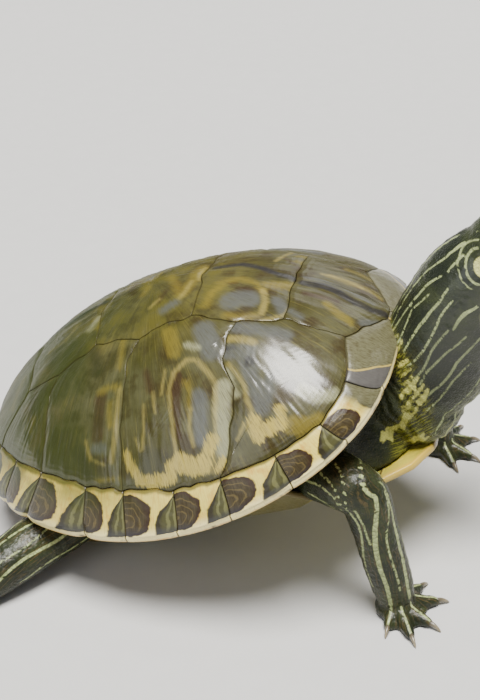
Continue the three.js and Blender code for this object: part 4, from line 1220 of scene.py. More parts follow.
def curve_through(rows, count):
    """Catmull-Rom curve through rows of numbers, sampled evenly by row."""
    rows = np.asarray(rows, dtype=float)
    padded = np.concatenate([2 * rows[:1] - rows[1:2], rows, 2 * rows[-1:] - rows[-2:-1]])
    t = np.linspace(0, len(rows) - 1, count)
    k = np.minimum(t.astype(int), len(rows) - 2)
    u = (t - k)[:, None]
    a, b, c, d = (padded[k + j] for j in range(4))
    return 0.5 * (2 * b + (c - a) * u + (2 * a - 5 * b + 4 * c - d) * u**2 + (3 * b - a - 3 * c + d) * u**3)


def ring_rows(centres, sides, ups, wide, high, power=2.0, count=40):
    """Superellipse rings: a half-width sideways and a half-height upwards at each centre."""
    turn = -2 * np.pi * np.arange(count) / count
    power = np.broadcast_to(np.asarray(power, dtype=float), (len(centres),))[:, None]
    across = np.sign(np.cos(turn)) * np.abs(np.cos(turn)) ** (2 / power)
    rise = np.sign(np.sin(turn)) * np.abs(np.sin(turn)) ** (2 / power)
    offset = (across * np.asarray(wide)[:, None])[..., None] * sides[:, None]
    return centres[:, None] + offset + (rise * np.asarray(high)[:, None])[..., None] * ups[:, None]


def unit(vectors):
    return vectors / np.maximum(np.linalg.norm(vectors, axis=-1, keepdims=True), 1e-9)


def limb_path(rows, side, step=LEFT_STEP):
    """Centres and half-sizes of a limb, its left copy stepped ahead towards the foot."""
    path = curve_through(rows, 12 * (len(rows) - 1) + 1)
    share = np.linspace(0, 1, len(path))
    x = path[:, 0] + (0 if side == 1 else step) * share
    centres = np.stack([x, -side * path[:, 1], path[:, 2]], axis=1) + SHIFT
    return centres, path[:, 3], path[:, 4]


def limb_tube(centres, wide, high, lean):
    """Rings square to the path, their width held along a leaning direction."""
    way = unit(np.gradient(centres, axis=0))
    sides = unit(lean - (way @ lean)[:, None] * way)
    ups = np.cross(sides, way)
    return tube(ring_rows(centres, sides, ups, wide, high, count=32))


def foot_frame(kind, side):
    """A foot's numbers, its ankle's place on the floor, and the ways that its toes point."""
    foot = FEET[kind]
    along, out = foot["ankle"]
    ankle = np.array([along + (0 if side == 1 else LEFT_STEP), -side * out, 0]) + SHIFT
    turn = np.radians(side * (foot["heading"] + np.array(foot["spread"])))
    ways = np.stack([np.cos(turn), np.sin(turn), np.zeros(TOES)], axis=1)
    return foot, ankle, ways


def ball(centre, sizes, count=24):
    """Closed ellipsoid as a tube of shrinking rings."""
    turn = np.linspace(0.06, np.pi - 0.06, count // 2)
    centres = centre + np.outer(-np.cos(turn) * sizes[2], [0, 0, 1])
    sides = np.broadcast_to([0.0, -1.0, 0.0], centres.shape)
    ups = np.broadcast_to([1.0, 0.0, 0.0], centres.shape)
    radius = np.sin(turn)
    return tube(ring_rows(centres, sides, ups, radius * sizes[1], radius * sizes[0], count=count))


def toe_tube(centres, way, wide, high):
    """Rings along a toe or a claw, which points along way as seen from above."""
    sides = np.broadcast_to(np.array([way[1], -way[0], 0]), centres.shape)
    ups = np.cross(sides, unit(np.gradient(centres, axis=0)))
    return tube(ring_rows(centres, sides, ups, wide, high, count=TOE_COUNT))


def foot_parts(kind, side):
    """A palm, five bent toes and a web drawn between their bones."""
    foot, ankle, ways = foot_frame(kind, side)
    parts = [ball(ankle + [0, 0, 2.8], (7.4, 7.4, 4.2))]
    lengths, toe = np.array(foot["lengths"], dtype=float), foot["toe"]
    for way, length in zip(ways, lengths):
        reach = length - CLAW_LENGTH + 1.2
        rows = [
            (0, 4.4, toe + 1.2),
            (0.3 * reach, 3.9, toe + 0.7),
            (0.6 * reach, 2.9, toe + 0.25),
            (0.86 * reach, 2.1, toe * 0.86),
            (reach, 1.5, toe * 0.6),
        ]
        rows = curve_through(rows, 17)
        centres = ankle + way * rows[:, :1]
        centres[:, 2] = rows[:, 1]
        parts.append(toe_tube(centres, way, rows[:, 2], rows[:, 2] * 0.95))
    tips = ankle + ways * lengths[:, None]
    edge = [ankle - ways[0] * 2]
    for k in range(TOES):
        edge.append(ankle + ways[k] * lengths[k] * WEB_PART)
        if k < TOES - 1:
            a, b = tips[k] - ankle, tips[k + 1] - ankle
            for share in (0.25, 0.5, 0.75):
                reach = foot["web"] + (WEB_PART - foot["web"]) * (2 * abs(share - 0.5)) ** 2
                edge.append(ankle + (a + (b - a) * share) * reach)
    edge.append(ankle - ways[-1] * 2)
    edge = np.array(edge)
    if np.cross((edge[1] - edge[0])[:2], (edge[2] - edge[0])[:2]) < 0:
        edge = edge[::-1]
    low, high = edge.copy(), edge.copy()
    low[:, 2], high[:, 2] = 0.1, 1.7
    middle = ankle + [0, 0, 3.0]
    inner = high + (middle - high) * 0.5
    inner[:, 2] = 2.4
    parts.append(tube(np.stack([low, high, inner])[:, ::-1][::-1]))
    return parts


def head_point(along, left, up):
    along, left, up = np.broadcast_arrays(along, left, up)
    way = along[..., None] * HEAD_WAY + up[..., None] * HEAD_UP
    return HEAD_AT + SHIFT + way + left[..., None] * np.array([0.0, 1.0, 0.0])


def in_head(points):
    """Along, left and up in the head's own frame."""
    p = points - HEAD_AT - SHIFT
    return p @ HEAD_WAY, p[..., 1], p @ HEAD_UP


def head_and_neck():
    neck = curve_through(NECK, 61)
    turn, level = np.radians(neck[:, 4]), np.zeros(len(neck))
    centres = np.stack([neck[:, 0], level, neck[:, 1]], axis=1) + SHIFT
    ups = np.stack([-np.sin(turn), level, np.cos(turn)], axis=1)
    sides = np.broadcast_to([0.0, -1.0, 0.0], centres.shape)
    parts = [tube(ring_rows(centres, sides, ups, neck[:, 2], neck[:, 3], count=64))]
    head = curve_through(HEAD, 82)
    middle, half = (head[:, 2] - head[:, 3]) / 2, (head[:, 2] + head[:, 3]) / 2
    centres = head_point(head[:, 0], 0.0, middle)
    sides = np.broadcast_to([0.0, -1.0, 0.0], centres.shape)
    ups = np.broadcast_to(HEAD_UP, centres.shape)
    parts.append(tube(ring_rows(centres, sides, ups, head[:, 1], half, power=head[:, 4], count=64)))
    return parts


def trunk_part():
    """The body inside the shell: rings under the dome, then the wall down to the plastron."""
    angles = 2 * np.pi * np.arange(TRUNK_COUNT) / TRUNK_COUNT
    one, none = np.ones(TRUNK_COUNT), np.zeros(TRUNK_COUNT)
    signed = np.arctan2(np.sin(angles), np.cos(angles))
    seams = np.interp(np.abs(signed), MARGINAL_SEAMS, np.arange(len(MARGINAL_SEAMS)))
    start = inner_place(seams) * np.stack([one, np.sign(np.sin(angles))], axis=-1)
    rows = [dome_at(start * share, -SKIN_DEPTH * one) for share in np.linspace(0.08, 1, 9)]
    degrees = np.degrees(np.abs(signed))
    bridging = smoothstep(56, 62, degrees) * smoothstep(116, 110, degrees)
    part = UNDERSIDE_END - 0.01 + (BRIDGE_OUT - 0.03 - UNDERSIDE_END + 0.01) * bridging
    drop = UNDERSIDE_DROP - (PLASTRON_THICKNESS + 1) * bridging
    head = under_rim(signed, part, drop)
    length = np.where(np.cos(signed) > 0, 73.0, 74.0)
    reach = (np.abs(np.cos(signed) / length) ** 3.2 + np.abs(np.sin(signed) / 36.0) ** 3.2) ** (-1 / 3.2)
    foot = np.stack([reach * np.cos(signed), -reach * np.sin(signed), none], axis=1)
    foot[:, 2] = plastron_level(foot[:, 0]) + PLASTRON_THICKNESS + BELLY_CLEAR
    pull = 0.93 + 0.07 * bridging
    middle = (head + foot) / 2 * np.stack([pull, pull, one], axis=1)
    inner = foot * [0.5, 0.5, 0]
    inner[:, 2] = plastron_level(inner[:, 0]) + PLASTRON_THICKNESS + BELLY_CLEAR
    rings = np.stack([*rows, head, middle, foot, inner])[::-1]
    return tube(posed(rings))


def throat_pouch():
    """Loose skin between the neck and the front belly plate: half a ball that lies on the plate."""
    points, faces = ball(np.zeros(3), (1, 1, 1), 40)
    places = points * THROAT_SIZE + THROAT_AT
    lowest = plastron_level(places[:, 0]) + PLASTRON_THICKNESS + 0.35
    places[:, 2] = np.maximum(places[:, 2], lowest)
    return posed(places), faces


def joined(parts):
    points, faces, base = [], [], 0
    for part_points, part_faces in parts:
        points.append(part_points)
        faces.append(np.where(part_faces >= 0, part_faces + base, -1))
        base += len(part_points)
    return np.concatenate(points), np.concatenate(faces)


def evaluated(mesh, kind, **settings):
    """The mesh after one modifier, whose temporary object is removed."""
    holder = bpy.data.objects.new("holder", mesh)
    bpy.context.scene.collection.objects.link(holder)
    group = settings.pop("weights", None)
    if group is not None:
        held = holder.vertex_groups.new(name="held")
        for level in np.unique(group):
            held.add(np.flatnonzero(group == level).tolist(), float(level), "REPLACE")
    modifier = holder.modifiers.new("step", kind)
    for key, value in settings.items():
        setattr(modifier, key, value)
    made = bpy.data.meshes.new_from_object(holder.evaluated_get(bpy.context.evaluated_depsgraph_get()))
    bpy.data.objects.remove(holder)
    return made


def mesh_points(mesh):
    points = np.empty(len(mesh.vertices) * 3)
    mesh.vertices.foreach_get("co", points)
    return points.reshape(-1, 3) / MM


def mesh_normals(mesh):
    normals = np.empty(len(mesh.vertices) * 3)
    mesh.vertex_normals.foreach_get("vector", normals)
    return normals.reshape(-1, 3)


def set_points(mesh, points):
    mesh.vertices.foreach_set("co", (points * MM).ravel())
    mesh.update()


def relax(mesh, points, rounds, share):
    """Moves each point towards the mean of its neighbours, by its own share, some rounds."""
    edges = np.empty(len(mesh.edges) * 2, dtype=np.int32)
    mesh.edges.foreach_get("vertices", edges)
    a, b = edges.reshape(-1, 2).T
    size = len(points)
    degree = np.maximum(np.bincount(a, minlength=size) + np.bincount(b, minlength=size), 1)
    for _ in range(rounds):
        total = np.empty_like(points)
        for axis in range(3):
            total[:, axis] = np.bincount(a, points[b, axis], size) + np.bincount(b, points[a, axis], size)
        points = points + (total / degree[:, None] - points) * share[:, None]
    return points


# The way that each limb's width is held along, on the right side.
LEAN = {"foreleg": (0.3, -1.0, 0.0), "hindleg": (1.0, 0.6, 0.0), "tail": (0.0, -1.0, 0.0)}


def limb_paths():
    """Each limb's centre line, as (points, half-widths, half-heights)."""
    paths = {}
    for word, side in SIDES:
        paths[f"foreleg_{word}"] = limb_path(FORELEG, side)
        paths[f"hindleg_{word}"] = limb_path(HINDLEG, side)
    paths["tail"] = limb_path(TAIL, 1, 0)
    return paths


def flesh_parts():
    parts = [trunk_part(), throat_pouch(), *head_and_neck()]
    for name, (centres, wide, high) in limb_paths().items():
        kind = name.split("_")[0]
        lean = LEAN[kind] * np.array([1, -1 if name.endswith("left") else 1, 1])
        parts.append(limb_tube(centres, wide, high, lean))
    for _, side in SIDES:
        parts += foot_parts("foreleg", side) + foot_parts("hindleg", side)
        parts.append(lid_ball(side))
    return parts


def lid_ball(side):
    """The swelling of the lids round one eye."""
    centre = head_point(EYE_ALONG, -side * EYE_OUT, EYE_UP)
    return ball(centre, (EYE_RADIUS + 0.62,) * 3, 28)


BLOCK = 20000
# Places (x, z) down the middle of the neck and head.
NECK_MIDDLE = [
    (60, 60), (74, 68.5), (84, 80), (90, 93), (95, 105), (102, 114.5), (111, 120), (122, 123.2), (136, 124.8),
]


def nearest_on(path, points):
    """Number of the nearest path point to each point, and its distance, found in blocks."""
    index, far = [], []
    for start in range(0, len(points), BLOCK):
        gap = ((points[start : start + BLOCK, None] - path) ** 2).sum(axis=-1)
        index.append(gap.argmin(axis=1))
        far.append(np.sqrt(gap.min(axis=1)))
    return np.concatenate(index), np.concatenate(far)


def neck_line():
    """Centre line of the neck and head as one curve in the keel's plane."""
    flat = curve_through(NECK_MIDDLE, 97)
    return np.stack([flat[:, 0], np.zeros(len(flat)), flat[:, 1]], axis=1) + SHIFT


def along_and_turn(path, points, top):
    """Length along a path, degrees round it from its top, and radius, for each point."""
    index, _ = nearest_on(path, points)
    steps = np.linalg.norm(np.diff(path, axis=0), axis=1)
    lengths = np.concatenate([[0], np.cumsum(steps)])
    way = unit(np.gradient(path, axis=0))
    up = unit(top - (way @ top)[:, None] * way)
    side = np.cross(way, up)
    arm = points - path[index]
    high = (arm * up[index]).sum(axis=1)
    wide = (arm * side[index]).sum(axis=1)
    slide = (arm * way[index]).sum(axis=1)
    return lengths[index] + slide, np.degrees(np.arctan2(wide, high)), np.hypot(wide, high)


FLESH_NODES = ["trunk", "neck", "head", "tail"]
FLESH_NODES += ["foreleg_right", "foreleg_left", "hindleg_right", "hindleg_left"]
SKIN_VOXEL = 0.62
SKIN_FACES = 185000


def carve_head(points, normals):
    """Moves skin of the head: lids open on the eye, a mouth line, nostrils and an eardrum."""
    along, left, up = in_head(points)
    out = np.abs(left)
    side = np.sign(left)
    moved = points.copy()
    # Lids: an almond opening, past which the skin wraps the eyeball.
    eye_a, eye_u = along - EYE_ALONG, up - EYE_UP
    arm = np.stack([eye_a, out - EYE_OUT, eye_u], axis=1)
    radius = np.linalg.norm(arm, axis=1)
    facing = (out > EYE_OUT - 0.5) & (radius < 6.8)
    opening = np.sqrt((eye_a / LID_REACH) ** 2 + (eye_u / np.where(eye_u > 0, LID_RISE, LID_DROP)) ** 2)
    sink = smoothstep(1.12, 0.93, opening)
    target = radius * (1 - sink) + (EYE_RADIUS - 0.9) * sink
    ridge = 0.22 * hump(opening, 1.3, 0.16)
    crease = -0.28 * hump(opening, 1.75, 0.13)
    target = np.where(facing, target + ridge + crease, radius)
    change = (target - radius)[:, None] * (arm / np.maximum(radius, 1e-6)[:, None])
    shift = change[:, :1] * HEAD_WAY + change[:, 2:] * HEAD_UP
    shift[:, 1] += change[:, 1] * side
    moved += shift
    # Mouth line: from the beak's front back to the corner, which lifts a little.
    line = mouth_height(along)
    near = hump(up, line, 0.38) * smoothstep(MOUTH_CORNER, MOUTH_CORNER + 2, along)
    front = (along > 10) & (np.abs(up) < 16)
    moved -= normals * (0.5 * near * front)[:, None]
    above = smoothstep(0, 0.8, up - line) * smoothstep(3.2, 1.0, up - line) * smoothstep(22, 30, along)
    moved += normals * (0.22 * above * front)[:, None]
    # Nostrils: two small pits near the top of the beak.
    aside, rise = (out - NOSTRIL_AT[0]) / NOSTRIL_SIZE[0], (up - NOSTRIL_AT[1]) / NOSTRIL_SIZE[1]
    pit = np.exp(-(aside**2 + rise**2)) * (along > 36.5)
    moved -= normals * (0.8 * pit)[:, None]
    # Eardrum: a low round plate with a shallow ditch.
    drum = np.hypot((along - DRUM_AT[0]) / DRUM_SIZE[0], (up - DRUM_AT[1]) / DRUM_SIZE[1])
    moved -= normals * (0.35 * hump(drum, 1.0, 0.16) * (out > 10))[:, None]
    return moved


def mouth_height(along):
    return -3.1 - 0.9 * hump(along, 31, 5.0) + 0.035 * np.maximum(24 - along, 0) ** 1.5


def skin_mesh():
    """The parts of the flesh made one by voxels, relaxed, carved, folded, grained and thinned."""
    points, faces = joined(flesh_parts())
    rough = make_mesh("rough", points, faces)
    fine = evaluated(rough, "REMESH", mode="VOXEL", voxel_size=SKIN_VOXEL * MM)
    points = mesh_points(fine)
    on_head = smoothstep(2, 14, in_head(points)[0]) * (points[:, 2] > 95)
    small = smoothstep(9, 5, points[:, 2])
    points = relax(fine, points, 14, 0.5 - 0.36 * np.maximum(on_head, small * 0.9))
    set_points(fine, points)
    normals = mesh_normals(fine)
    neck_s, _, neck_r = along_and_turn(neck_line(), points, np.array([0.0, 0.0, 1.0]))
    points = carve_head(points, normals)
    # Folds of loose skin round the neck's base, and fine grain all over.
    at_neck = (neck_r < 30) & (points[:, 0] > 45) & (points[:, 2] > 30) & (np.abs(points[:, 1]) < 32)
    loose = smoothstep(36, 12, neck_s) * at_neck
    fold = np.cos(2 * np.pi * (neck_s + 0.9 * waves(points, 14, 31)) / 3.4)
    points = points + normals * (0.3 * loose * smoothstep(4, 12, neck_s) * fold)[:, None]
    grain = waves(points, 3.0, 41, 40)
    points = points + normals * (0.10 * grain * (1 - 0.8 * on_head))[:, None]
    points[:, 2] = np.maximum(points[:, 2], 0.04)
    set_points(fine, points)
    hidden = hidden_share(points)
    count = sum(len(p.vertices) - 2 for p in fine.polygons)
    held = np.round(np.where(hidden > 0.5, 1.0, 0.12 * (1 - on_head) + 0.02), 2)
    thin = {"ratio": min(1.0, SKIN_FACES / count), "vertex_group": "held", "vertex_group_factor": 8.0}
    return evaluated(fine, "DECIMATE", weights=held, **thin)


def hidden_share(points):
    """1 where the skin lies close under the dome's plates and can't be seen."""
    shell = in_shell(points)
    angle = np.arctan2(-shell[:, 1], shell[:, 0])
    part = np.hypot(shell[:, 0], shell[:, 1]) / rim_radius(angle)
    top = blend(RIM_RISE, angle) + 3
    above = smoothstep(-1, 1, shell[:, 2] - top) * (part < 0.95)
    floor_side = (np.abs(shell[:, 2] - plastron_level(shell[:, 0]) - 4) < 2) * (part < 0.55)
    return np.maximum(above, floor_side)


# ---- Markings of the skin ----

# Pale lines of the neck: (mm along, degrees from the nape, half-width) down each line.
NECK_LINES = [
    [(8, 4, 0.38), (46, 4, 0.38), (52, 7, 0.4), (60, 3, 0.4), (70, 1, 0.38)],
    [(10, 18, 0.38), (54, 16, 0.38), (61, 18, 0.42), (66, 22, 0.45), (71, 20, 0.8)],
    [(10, 28, 0.38), (44, 26, 0.38), (52, 26, 0.45), (58, 30, 0.48), (63, 38, 0.4)],
    [(65, 42, 0.4), (70, 36, 0.45)], [(10, 38, 0.38), (44, 37, 0.38), (50, 35, 0.38), (57, 41, 0.38)],
    [(33, 52, 0.38), (40, 51, 0.42), (47, 50, 0.58), (54, 51, 0.58), (57, 54, 0.5), (62, 54, 0.4)],
    [(28, 64, 0.38), (46, 65, 0.4), (54, 66, 0.42), (60, 69, 0.38)],
    [(27, 75, 0.4), (30, 74, 0.4), (41, 74, 0.42), (51, 81, 0.4)],
    [(27, 83, 0.38), (33, 82, 0.4), (43, 89, 0.42), (51, 98, 0.38)],
    [(52, 84, 0.4), (56, 86, 0.6), (59, 89, 0.78), (62, 95, 0.6), (66, 99, 0.4)],
    [(25, 97, 0.38), (28, 96, 0.5), (41, 103, 0.5), (52, 118, 0.42)],
    [(20, 108, 0.38), (24, 108, 0.4), (34, 110, 0.4), (42, 118, 0.38)],
    [(16, 135, 0.4), (36, 137, 0.42), (62, 142, 0.4)], [(14, 151, 0.45), (34, 153, 0.55), (72, 158, 0.55)],
    [(12, 169, 0.4), (34, 170, 0.4), (60, 172, 0.4)],
]
# Bright flecks of the loose skin at the neck's base, in the same form.
LOOSE_FLECKS = [
    [(25, 57, 0.5), (28.2, 58, 0.9), (31.4, 59, 0.6)], [(21.7, 81, 1), (25, 78, 0.9), (29.1, 76, 0.4)],
    [(23, 86, 0.5), (25, 80, 0.7)], [(18, 82, 0.7), (20.2, 79, 0.6), (22.5, 79, 0.4)],
    [(18.5, 91, 0.4), (23.3, 88, 0.6), (28, 85, 0.4)], [(21.6, 96, 1.1), (24.5, 95, 1.1), (27.3, 93, 0.7)],
    [(15, 106, 0.8), (19.3, 101, 0.5)], [(11, 114, 1.7), (14.5, 103, 1.5)],
    [(5.9, 113, 1.2), (8, 114, 1.4), (9.6, 112, 1)], [(10, 131, 1.4), (13.3, 128, 1.2)],
    [(3.9, 110, 1.4), (5, 118, 1.5)], [(30, 21, 0.4), (39, 27, 0.4)], [(30.6, 30, 0.4), (37.8, 33, 0.5)],
    [(27.2, 48, 0.45), (29, 34, 0.45)], [(28.9, 45, 0.4), (37.5, 43, 0.45)],
    [(24.6, 67, 0.4), (29.7, 67, 0.45)], [(22.7, 73, 0.4), (28, 71, 0.42)],
    [(15.8, 90, 0.4), (20.7, 90, 0.45)], [(14.5, 95, 0.4), (17.8, 95, 0.45)],
    [(8, 134, 0.6), (15, 137, 0.5)], [(10, 146, 0.5), (19, 149, 0.5)], [(7, 158, 0.7), (14, 161, 0.5)],
    [(12, 173, 0.6), (20, 176, 0.5)],
]
# Degrees from the nape, and the mm along between which the skin is loose there.
LOOSE_FROM = ((0, 40, 67, 83, 96, 110, 125, 180), (26, 25, 22, 17, 14, 8, 3, 0))
LOOSE_TO = ((0, 36, 47, 63, 80, 98, 120, 145, 180), (38, 36, 33, 31, 28, 25, 19, 15, 14))
# Pale lines of the head in its own frame: (along, degrees from the crown, half-width).
HEAD_LINES = [
    [(2, 30, 0.38), (14, 30, 0.38), (24, 28, 0.38), (32, 24, 0.36), (38, 16, 0.34)],
    [(7, 118, 0.5), (12, 117, 0.6), (18, 114, 0.65), (25, 108, 0.6), (30, 92, 0.45)],
    [(0, 139, 0.45), (4, 141, 0.5), (12, 137, 0.6), (22, 135, 0.5), (30, 132, 0.5), (37, 126, 0.4)],
    [(2, 156, 0.4), (14, 157, 0.5), (24, 158, 0.4), (33, 160, 0.4)],
    [(6, 180, 0.7), (20, 180, 0.8), (34, 180, 0.6)], [(31, 62, 0.34), (35, 66, 0.36), (38.5, 74, 0.34)],
    [(4, 12, 0.34), (16, 10, 0.34), (28, 6, 0.34)],
]
RED_MARK = [(4.8, 88, 3.7), (8, 86, 3.6), (13, 81, 3.0), (18, 76, 2.5), (23.5, 71, 1.5)]
# Pale lines of the limbs: (mm along, degrees from the front, half-width).
FORELEG_LINES = [
    [(8, 60, 0.4), (20, 58, 0.6), (27, 52, 0.8), (32, 65, 0.9),
     (36, 72, 0.95), (44, 82, 0.9), (54, 93, 0.8), (71, 97, 0.65)],
    [(18, 122, 0.4), (24, 120, 0.45), (28, 102, 0.45), (34, 94, 0.4), (42, 100, 0.38)],
    [(16, 150, 0.45), (25, 146, 0.5), (28, 122, 0.5), (34, 116, 0.5), (46, 128, 0.5), (62, 136, 0.45)],
    [(28, 22, 0.38), (33, 27, 0.4), (41, 48, 0.4), (53, 56, 0.4), (64, 60, 0.38)],
    [(26, 6, 0.4), (33, 8, 0.5), (40, 17, 0.7), (47, 25, 0.75), (57, 24, 0.75), (70, 24, 0.65)],
    [(12, -30, 0.4), (40, -12, 0.42), (68, -10, 0.4)], [(10, -66, 0.4), (40, -56, 0.45), (66, -50, 0.42)],
    [(10, -105, 0.5), (40, -100, 0.6), (66, -96, 0.5)], [(10, -150, 0.5), (40, -146, 0.6), (64, -142, 0.5)],
    [(10, 178, 0.42), (40, 172, 0.5), (64, 170, 0.42)],
]
HINDLEG_LINES = [
    [(8, 0, 0.4), (30, 6, 0.45), (62, 2, 0.4)], [(8, 34, 0.4), (30, 30, 0.4), (60, 34, 0.4)],
    [(8, 66, 0.5), (30, 70, 0.6), (60, 64, 0.5)], [(8, 104, 0.4), (30, 100, 0.4), (60, 104, 0.4)],
    [(8, 140, 0.6), (30, 146, 0.8), (60, 140, 0.6)], [(8, -32, 0.4), (30, -36, 0.4), (60, -32, 0.4)],
    [(8, -70, 0.5), (30, -66, 0.6), (60, -70, 0.5)], [(8, -108, 0.4), (30, -112, 0.4), (60, -106, 0.4)],
    [(8, 176, 0.5), (30, 178, 0.6), (60, 176, 0.5)],
]
TAIL_LINES = [
    [(4, 14, 0.4), (30, 14, 0.4), (66, 10, 0.4)], [(4, -14, 0.4), (30, -14, 0.4), (66, -10, 0.4)],
    [(4, 60, 0.4), (30, 56, 0.4), (66, 50, 0.4)], [(4, -60, 0.4), (30, -56, 0.4), (66, -50, 0.4)],
    [(4, 110, 0.5), (30, 112, 0.5), (66, 110, 0.4)], [(4, -110, 0.5), (30, -112, 0.5), (66, -110, 0.4)],
    [(4, 178, 0.7), (30, 178, 0.6), (66, 178, 0.4)],
]


def line_distance(s, turn, radius, lines, wander):
    """Signed distance in mm to the nearest line, whose turn and width change with s."""
    nearest = np.full(len(s), FAR)
    for number, line in enumerate(lines):
        at, angle, half = np.array(line, dtype=float).T
        where = np.interp(s, at, angle)
        width = np.interp(s, at, half)
        sway = wander * np.sin(s / 5.5 + number * 2.1)
        apart = np.abs((turn - where - sway + 180) % 360 - 180)
        past = np.maximum(at[0] - s, 0) + np.maximum(s - at[-1], 0)
        gap = np.hypot(np.radians(apart) * radius, past) - width
        nearest = np.minimum(nearest, gap)
    return nearest


def skin_values(points):
    """Distances to pale lines and the red mark, the regions of each kind of skin, and a painted shade on the
    neck's flanks.
    """
    size = len(points)
    stripe, limb, reach = np.full(size, FAR), np.zeros(size), np.full(size, FAR)
    top = np.array([0.0, 0.0, 1.0])
    s, turn, radius = along_and_turn(neck_line(), points, top)
    along, left, up = in_head(points)
    in_front = (points[:, 0] > 44) & (radius < 34) & (np.abs(points[:, 1]) < 30)
    is_head = in_front & (along > 2) & (points[:, 2] > HEAD_FLOOR)
    is_neck = in_front & ~is_head
    stripe = np.where(is_neck, line_distance(s, np.abs(turn), radius, NECK_LINES, 2.0), stripe)
    around = np.degrees(np.arctan2(np.abs(left), up))
    girth = np.hypot(left, up)
    stripe = np.where(is_head, line_distance(along, around, girth, HEAD_LINES, 1.0), stripe)
    red_mark = line_distance(along, around, girth, [RED_MARK], 0.0)
    at_mark = in_front & (along > -6) & (points[:, 2] > HEAD_FLOOR)
    # Two thin lines follow the outline of the red mark's rear end.
    ring = np.minimum(np.abs(red_mark - 2.7), np.abs(red_mark - 5.2) + 0.12) - 0.42
    ring += 3 * smoothstep(3, 5, along) + 3 * smoothstep(112, 128, around)
    stripe = np.where(at_mark, np.minimum(stripe, ring), stripe)
    flow = np.stack([s, np.radians(turn) * radius, np.zeros(size)], axis=1)
    tables = {"foreleg": FORELEG_LINES, "hindleg": HINDLEG_LINES, "tail": TAIL_LINES}
    tops = {"foreleg": np.array([1.0, 0, 0]), "hindleg": top, "tail": top}
    for name, (centres, wide, _) in limb_paths().items():
        kind = name.split("_")[0]
        index, far = nearest_on(centres, points)
        share = far / wide[index]
        own = (share < 1.5) & (share < reach) & ~in_front
        reach = np.where(own, share, reach)
        s_limb, turn_limb, r_limb = along_and_turn(centres, points, tops[kind])
        if name.endswith("left"):
            turn_limb = -turn_limb
        gap = line_distance(s_limb, turn_limb, r_limb, tables[kind], 5.0)
        stripe = np.where(own, gap, stripe)
        limb = np.where(own, smoothstep(8, 24, s_limb), limb)
        flow[own] = np.stack([s_limb, np.radians(turn_limb) * r_limb, np.zeros(size)], axis=1)[own]
    for kind, side in ((kind, side) for kind in FEET for _, side in SIDES):
        foot, ankle, ways = foot_frame(kind, side)
        ends = ways[:, :2] * np.array(foot["lengths"])[:, None]
        arm = points[:, :2] - ankle[:2]
        radial = np.linalg.norm(arm, axis=1)
        near = (radial < 34) & (points[:, 2] < 8)
        outer = near & (radial > 5)
        gap, _ = segment_distance(arm, np.zeros((TOES, 2)), ends)
        toe_line = np.where(points[:, 2] > 1.4, gap.min(axis=1) - 0.45, FAR)
        stripe = np.where(outer, toe_line, stripe)
        limb = np.where(near, 1.0, limb)
        flow_foot = np.stack([radial + 70, np.arctan2(arm[:, 1], arm[:, 0]) * 14, np.zeros(size)], axis=1)
        flow[outer] = flow_foot[outer]
    loose_from, loose_to = np.interp(np.abs(turn), *LOOSE_FROM), np.interp(np.abs(turn), *LOOSE_TO)
    loose = smoothstep(loose_from - 2, loose_from + 2, s) * in_front
    loose = loose * smoothstep(loose_to + 4, loose_to - 3, s)
    fleck = np.where(in_front, line_distance(s, np.abs(turn), radius, LOOSE_FLECKS, 1.5), FAR)
    beak = smoothstep(33.0, 35.5, along + 0.35 * np.maximum(-up - 2, 0)) * is_head
    mouth = np.where(is_head & (along > MOUTH_CORNER), np.abs(up - mouth_height(along)), FAR)
    pit = np.hypot(np.abs(left) - NOSTRIL_AT[0], up - NOSTRIL_AT[1])
    pit = np.where(is_head & (along > 36), pit, FAR)
    eye_gap = np.sqrt(((along - EYE_ALONG) / LID_REACH) ** 2 + ((up - EYE_UP) / LID_RISE) ** 2)
    lid = np.where(is_head & (np.abs(left) > 6), eye_gap, FAR)
    under = np.where(is_neck | is_head, smoothstep(120, 165, np.where(is_head, around, np.abs(turn))), 0.0)
    # Painted shade: the neck's flanks below the head are marked for darkening, as if shaded by the head.
    flank = smoothstep(58, 78, np.abs(turn)) * smoothstep(150, 128, np.abs(turn))
    shade = np.where(is_neck, flank * smoothstep(62, 50, s) * smoothstep(22, 27, s), 0.0)
    return {
        "stripe": stripe,
        "shade": shade,
        "red": np.where(at_mark, red_mark, FAR),
        "limb": limb,
        "loose": loose,
        "fleck": fleck,
        "beak": beak,
        "mouth": mouth,
        "pit": pit,
        "lid": lid,
        "under": under,
        "flow": flow,
    }


DARK_SKIN = (0.011, 0.015, 0.0075)
GREEN_SKIN = (0.032, 0.040, 0.014)
THREAD_SKIN = (0.080, 0.095, 0.036)
TAN_SKIN = (0.085, 0.060, 0.022)
LOOSE_SKIN = (0.034, 0.036, 0.008)
LOOSE_YELLOW = (0.19, 0.20, 0.022)
UNDER_SKIN = (0.34, 0.35, 0.15)
SHADED_SKIN = (0.006, 0.008, 0.004)
CREASE_SHADE = (0.012, 0.014, 0.008)
PALE_LINE = (0.34, 0.39, 0.17)
FLECK_YELLOW = (0.46, 0.46, 0.12)
MARK_RED = (0.42, 0.035, 0.012)
MARK_YELLOW = (0.60, 0.60, 0.20)
# Metres ahead between which the mark behind the eye turns from yellow to red.
MARK_TURNS_RED = (0.0915, 0.0955)
BEAK_HORN = (0.17, 0.175, 0.062)
MOUTH_SHADE = (0.012, 0.012, 0.008)
NOSTRIL_SHADE = (0.008, 0.007, 0.005)
LID_SHADE = (0.014, 0.016, 0.010)
PUPIL = 1.0
IRIS = 2.75


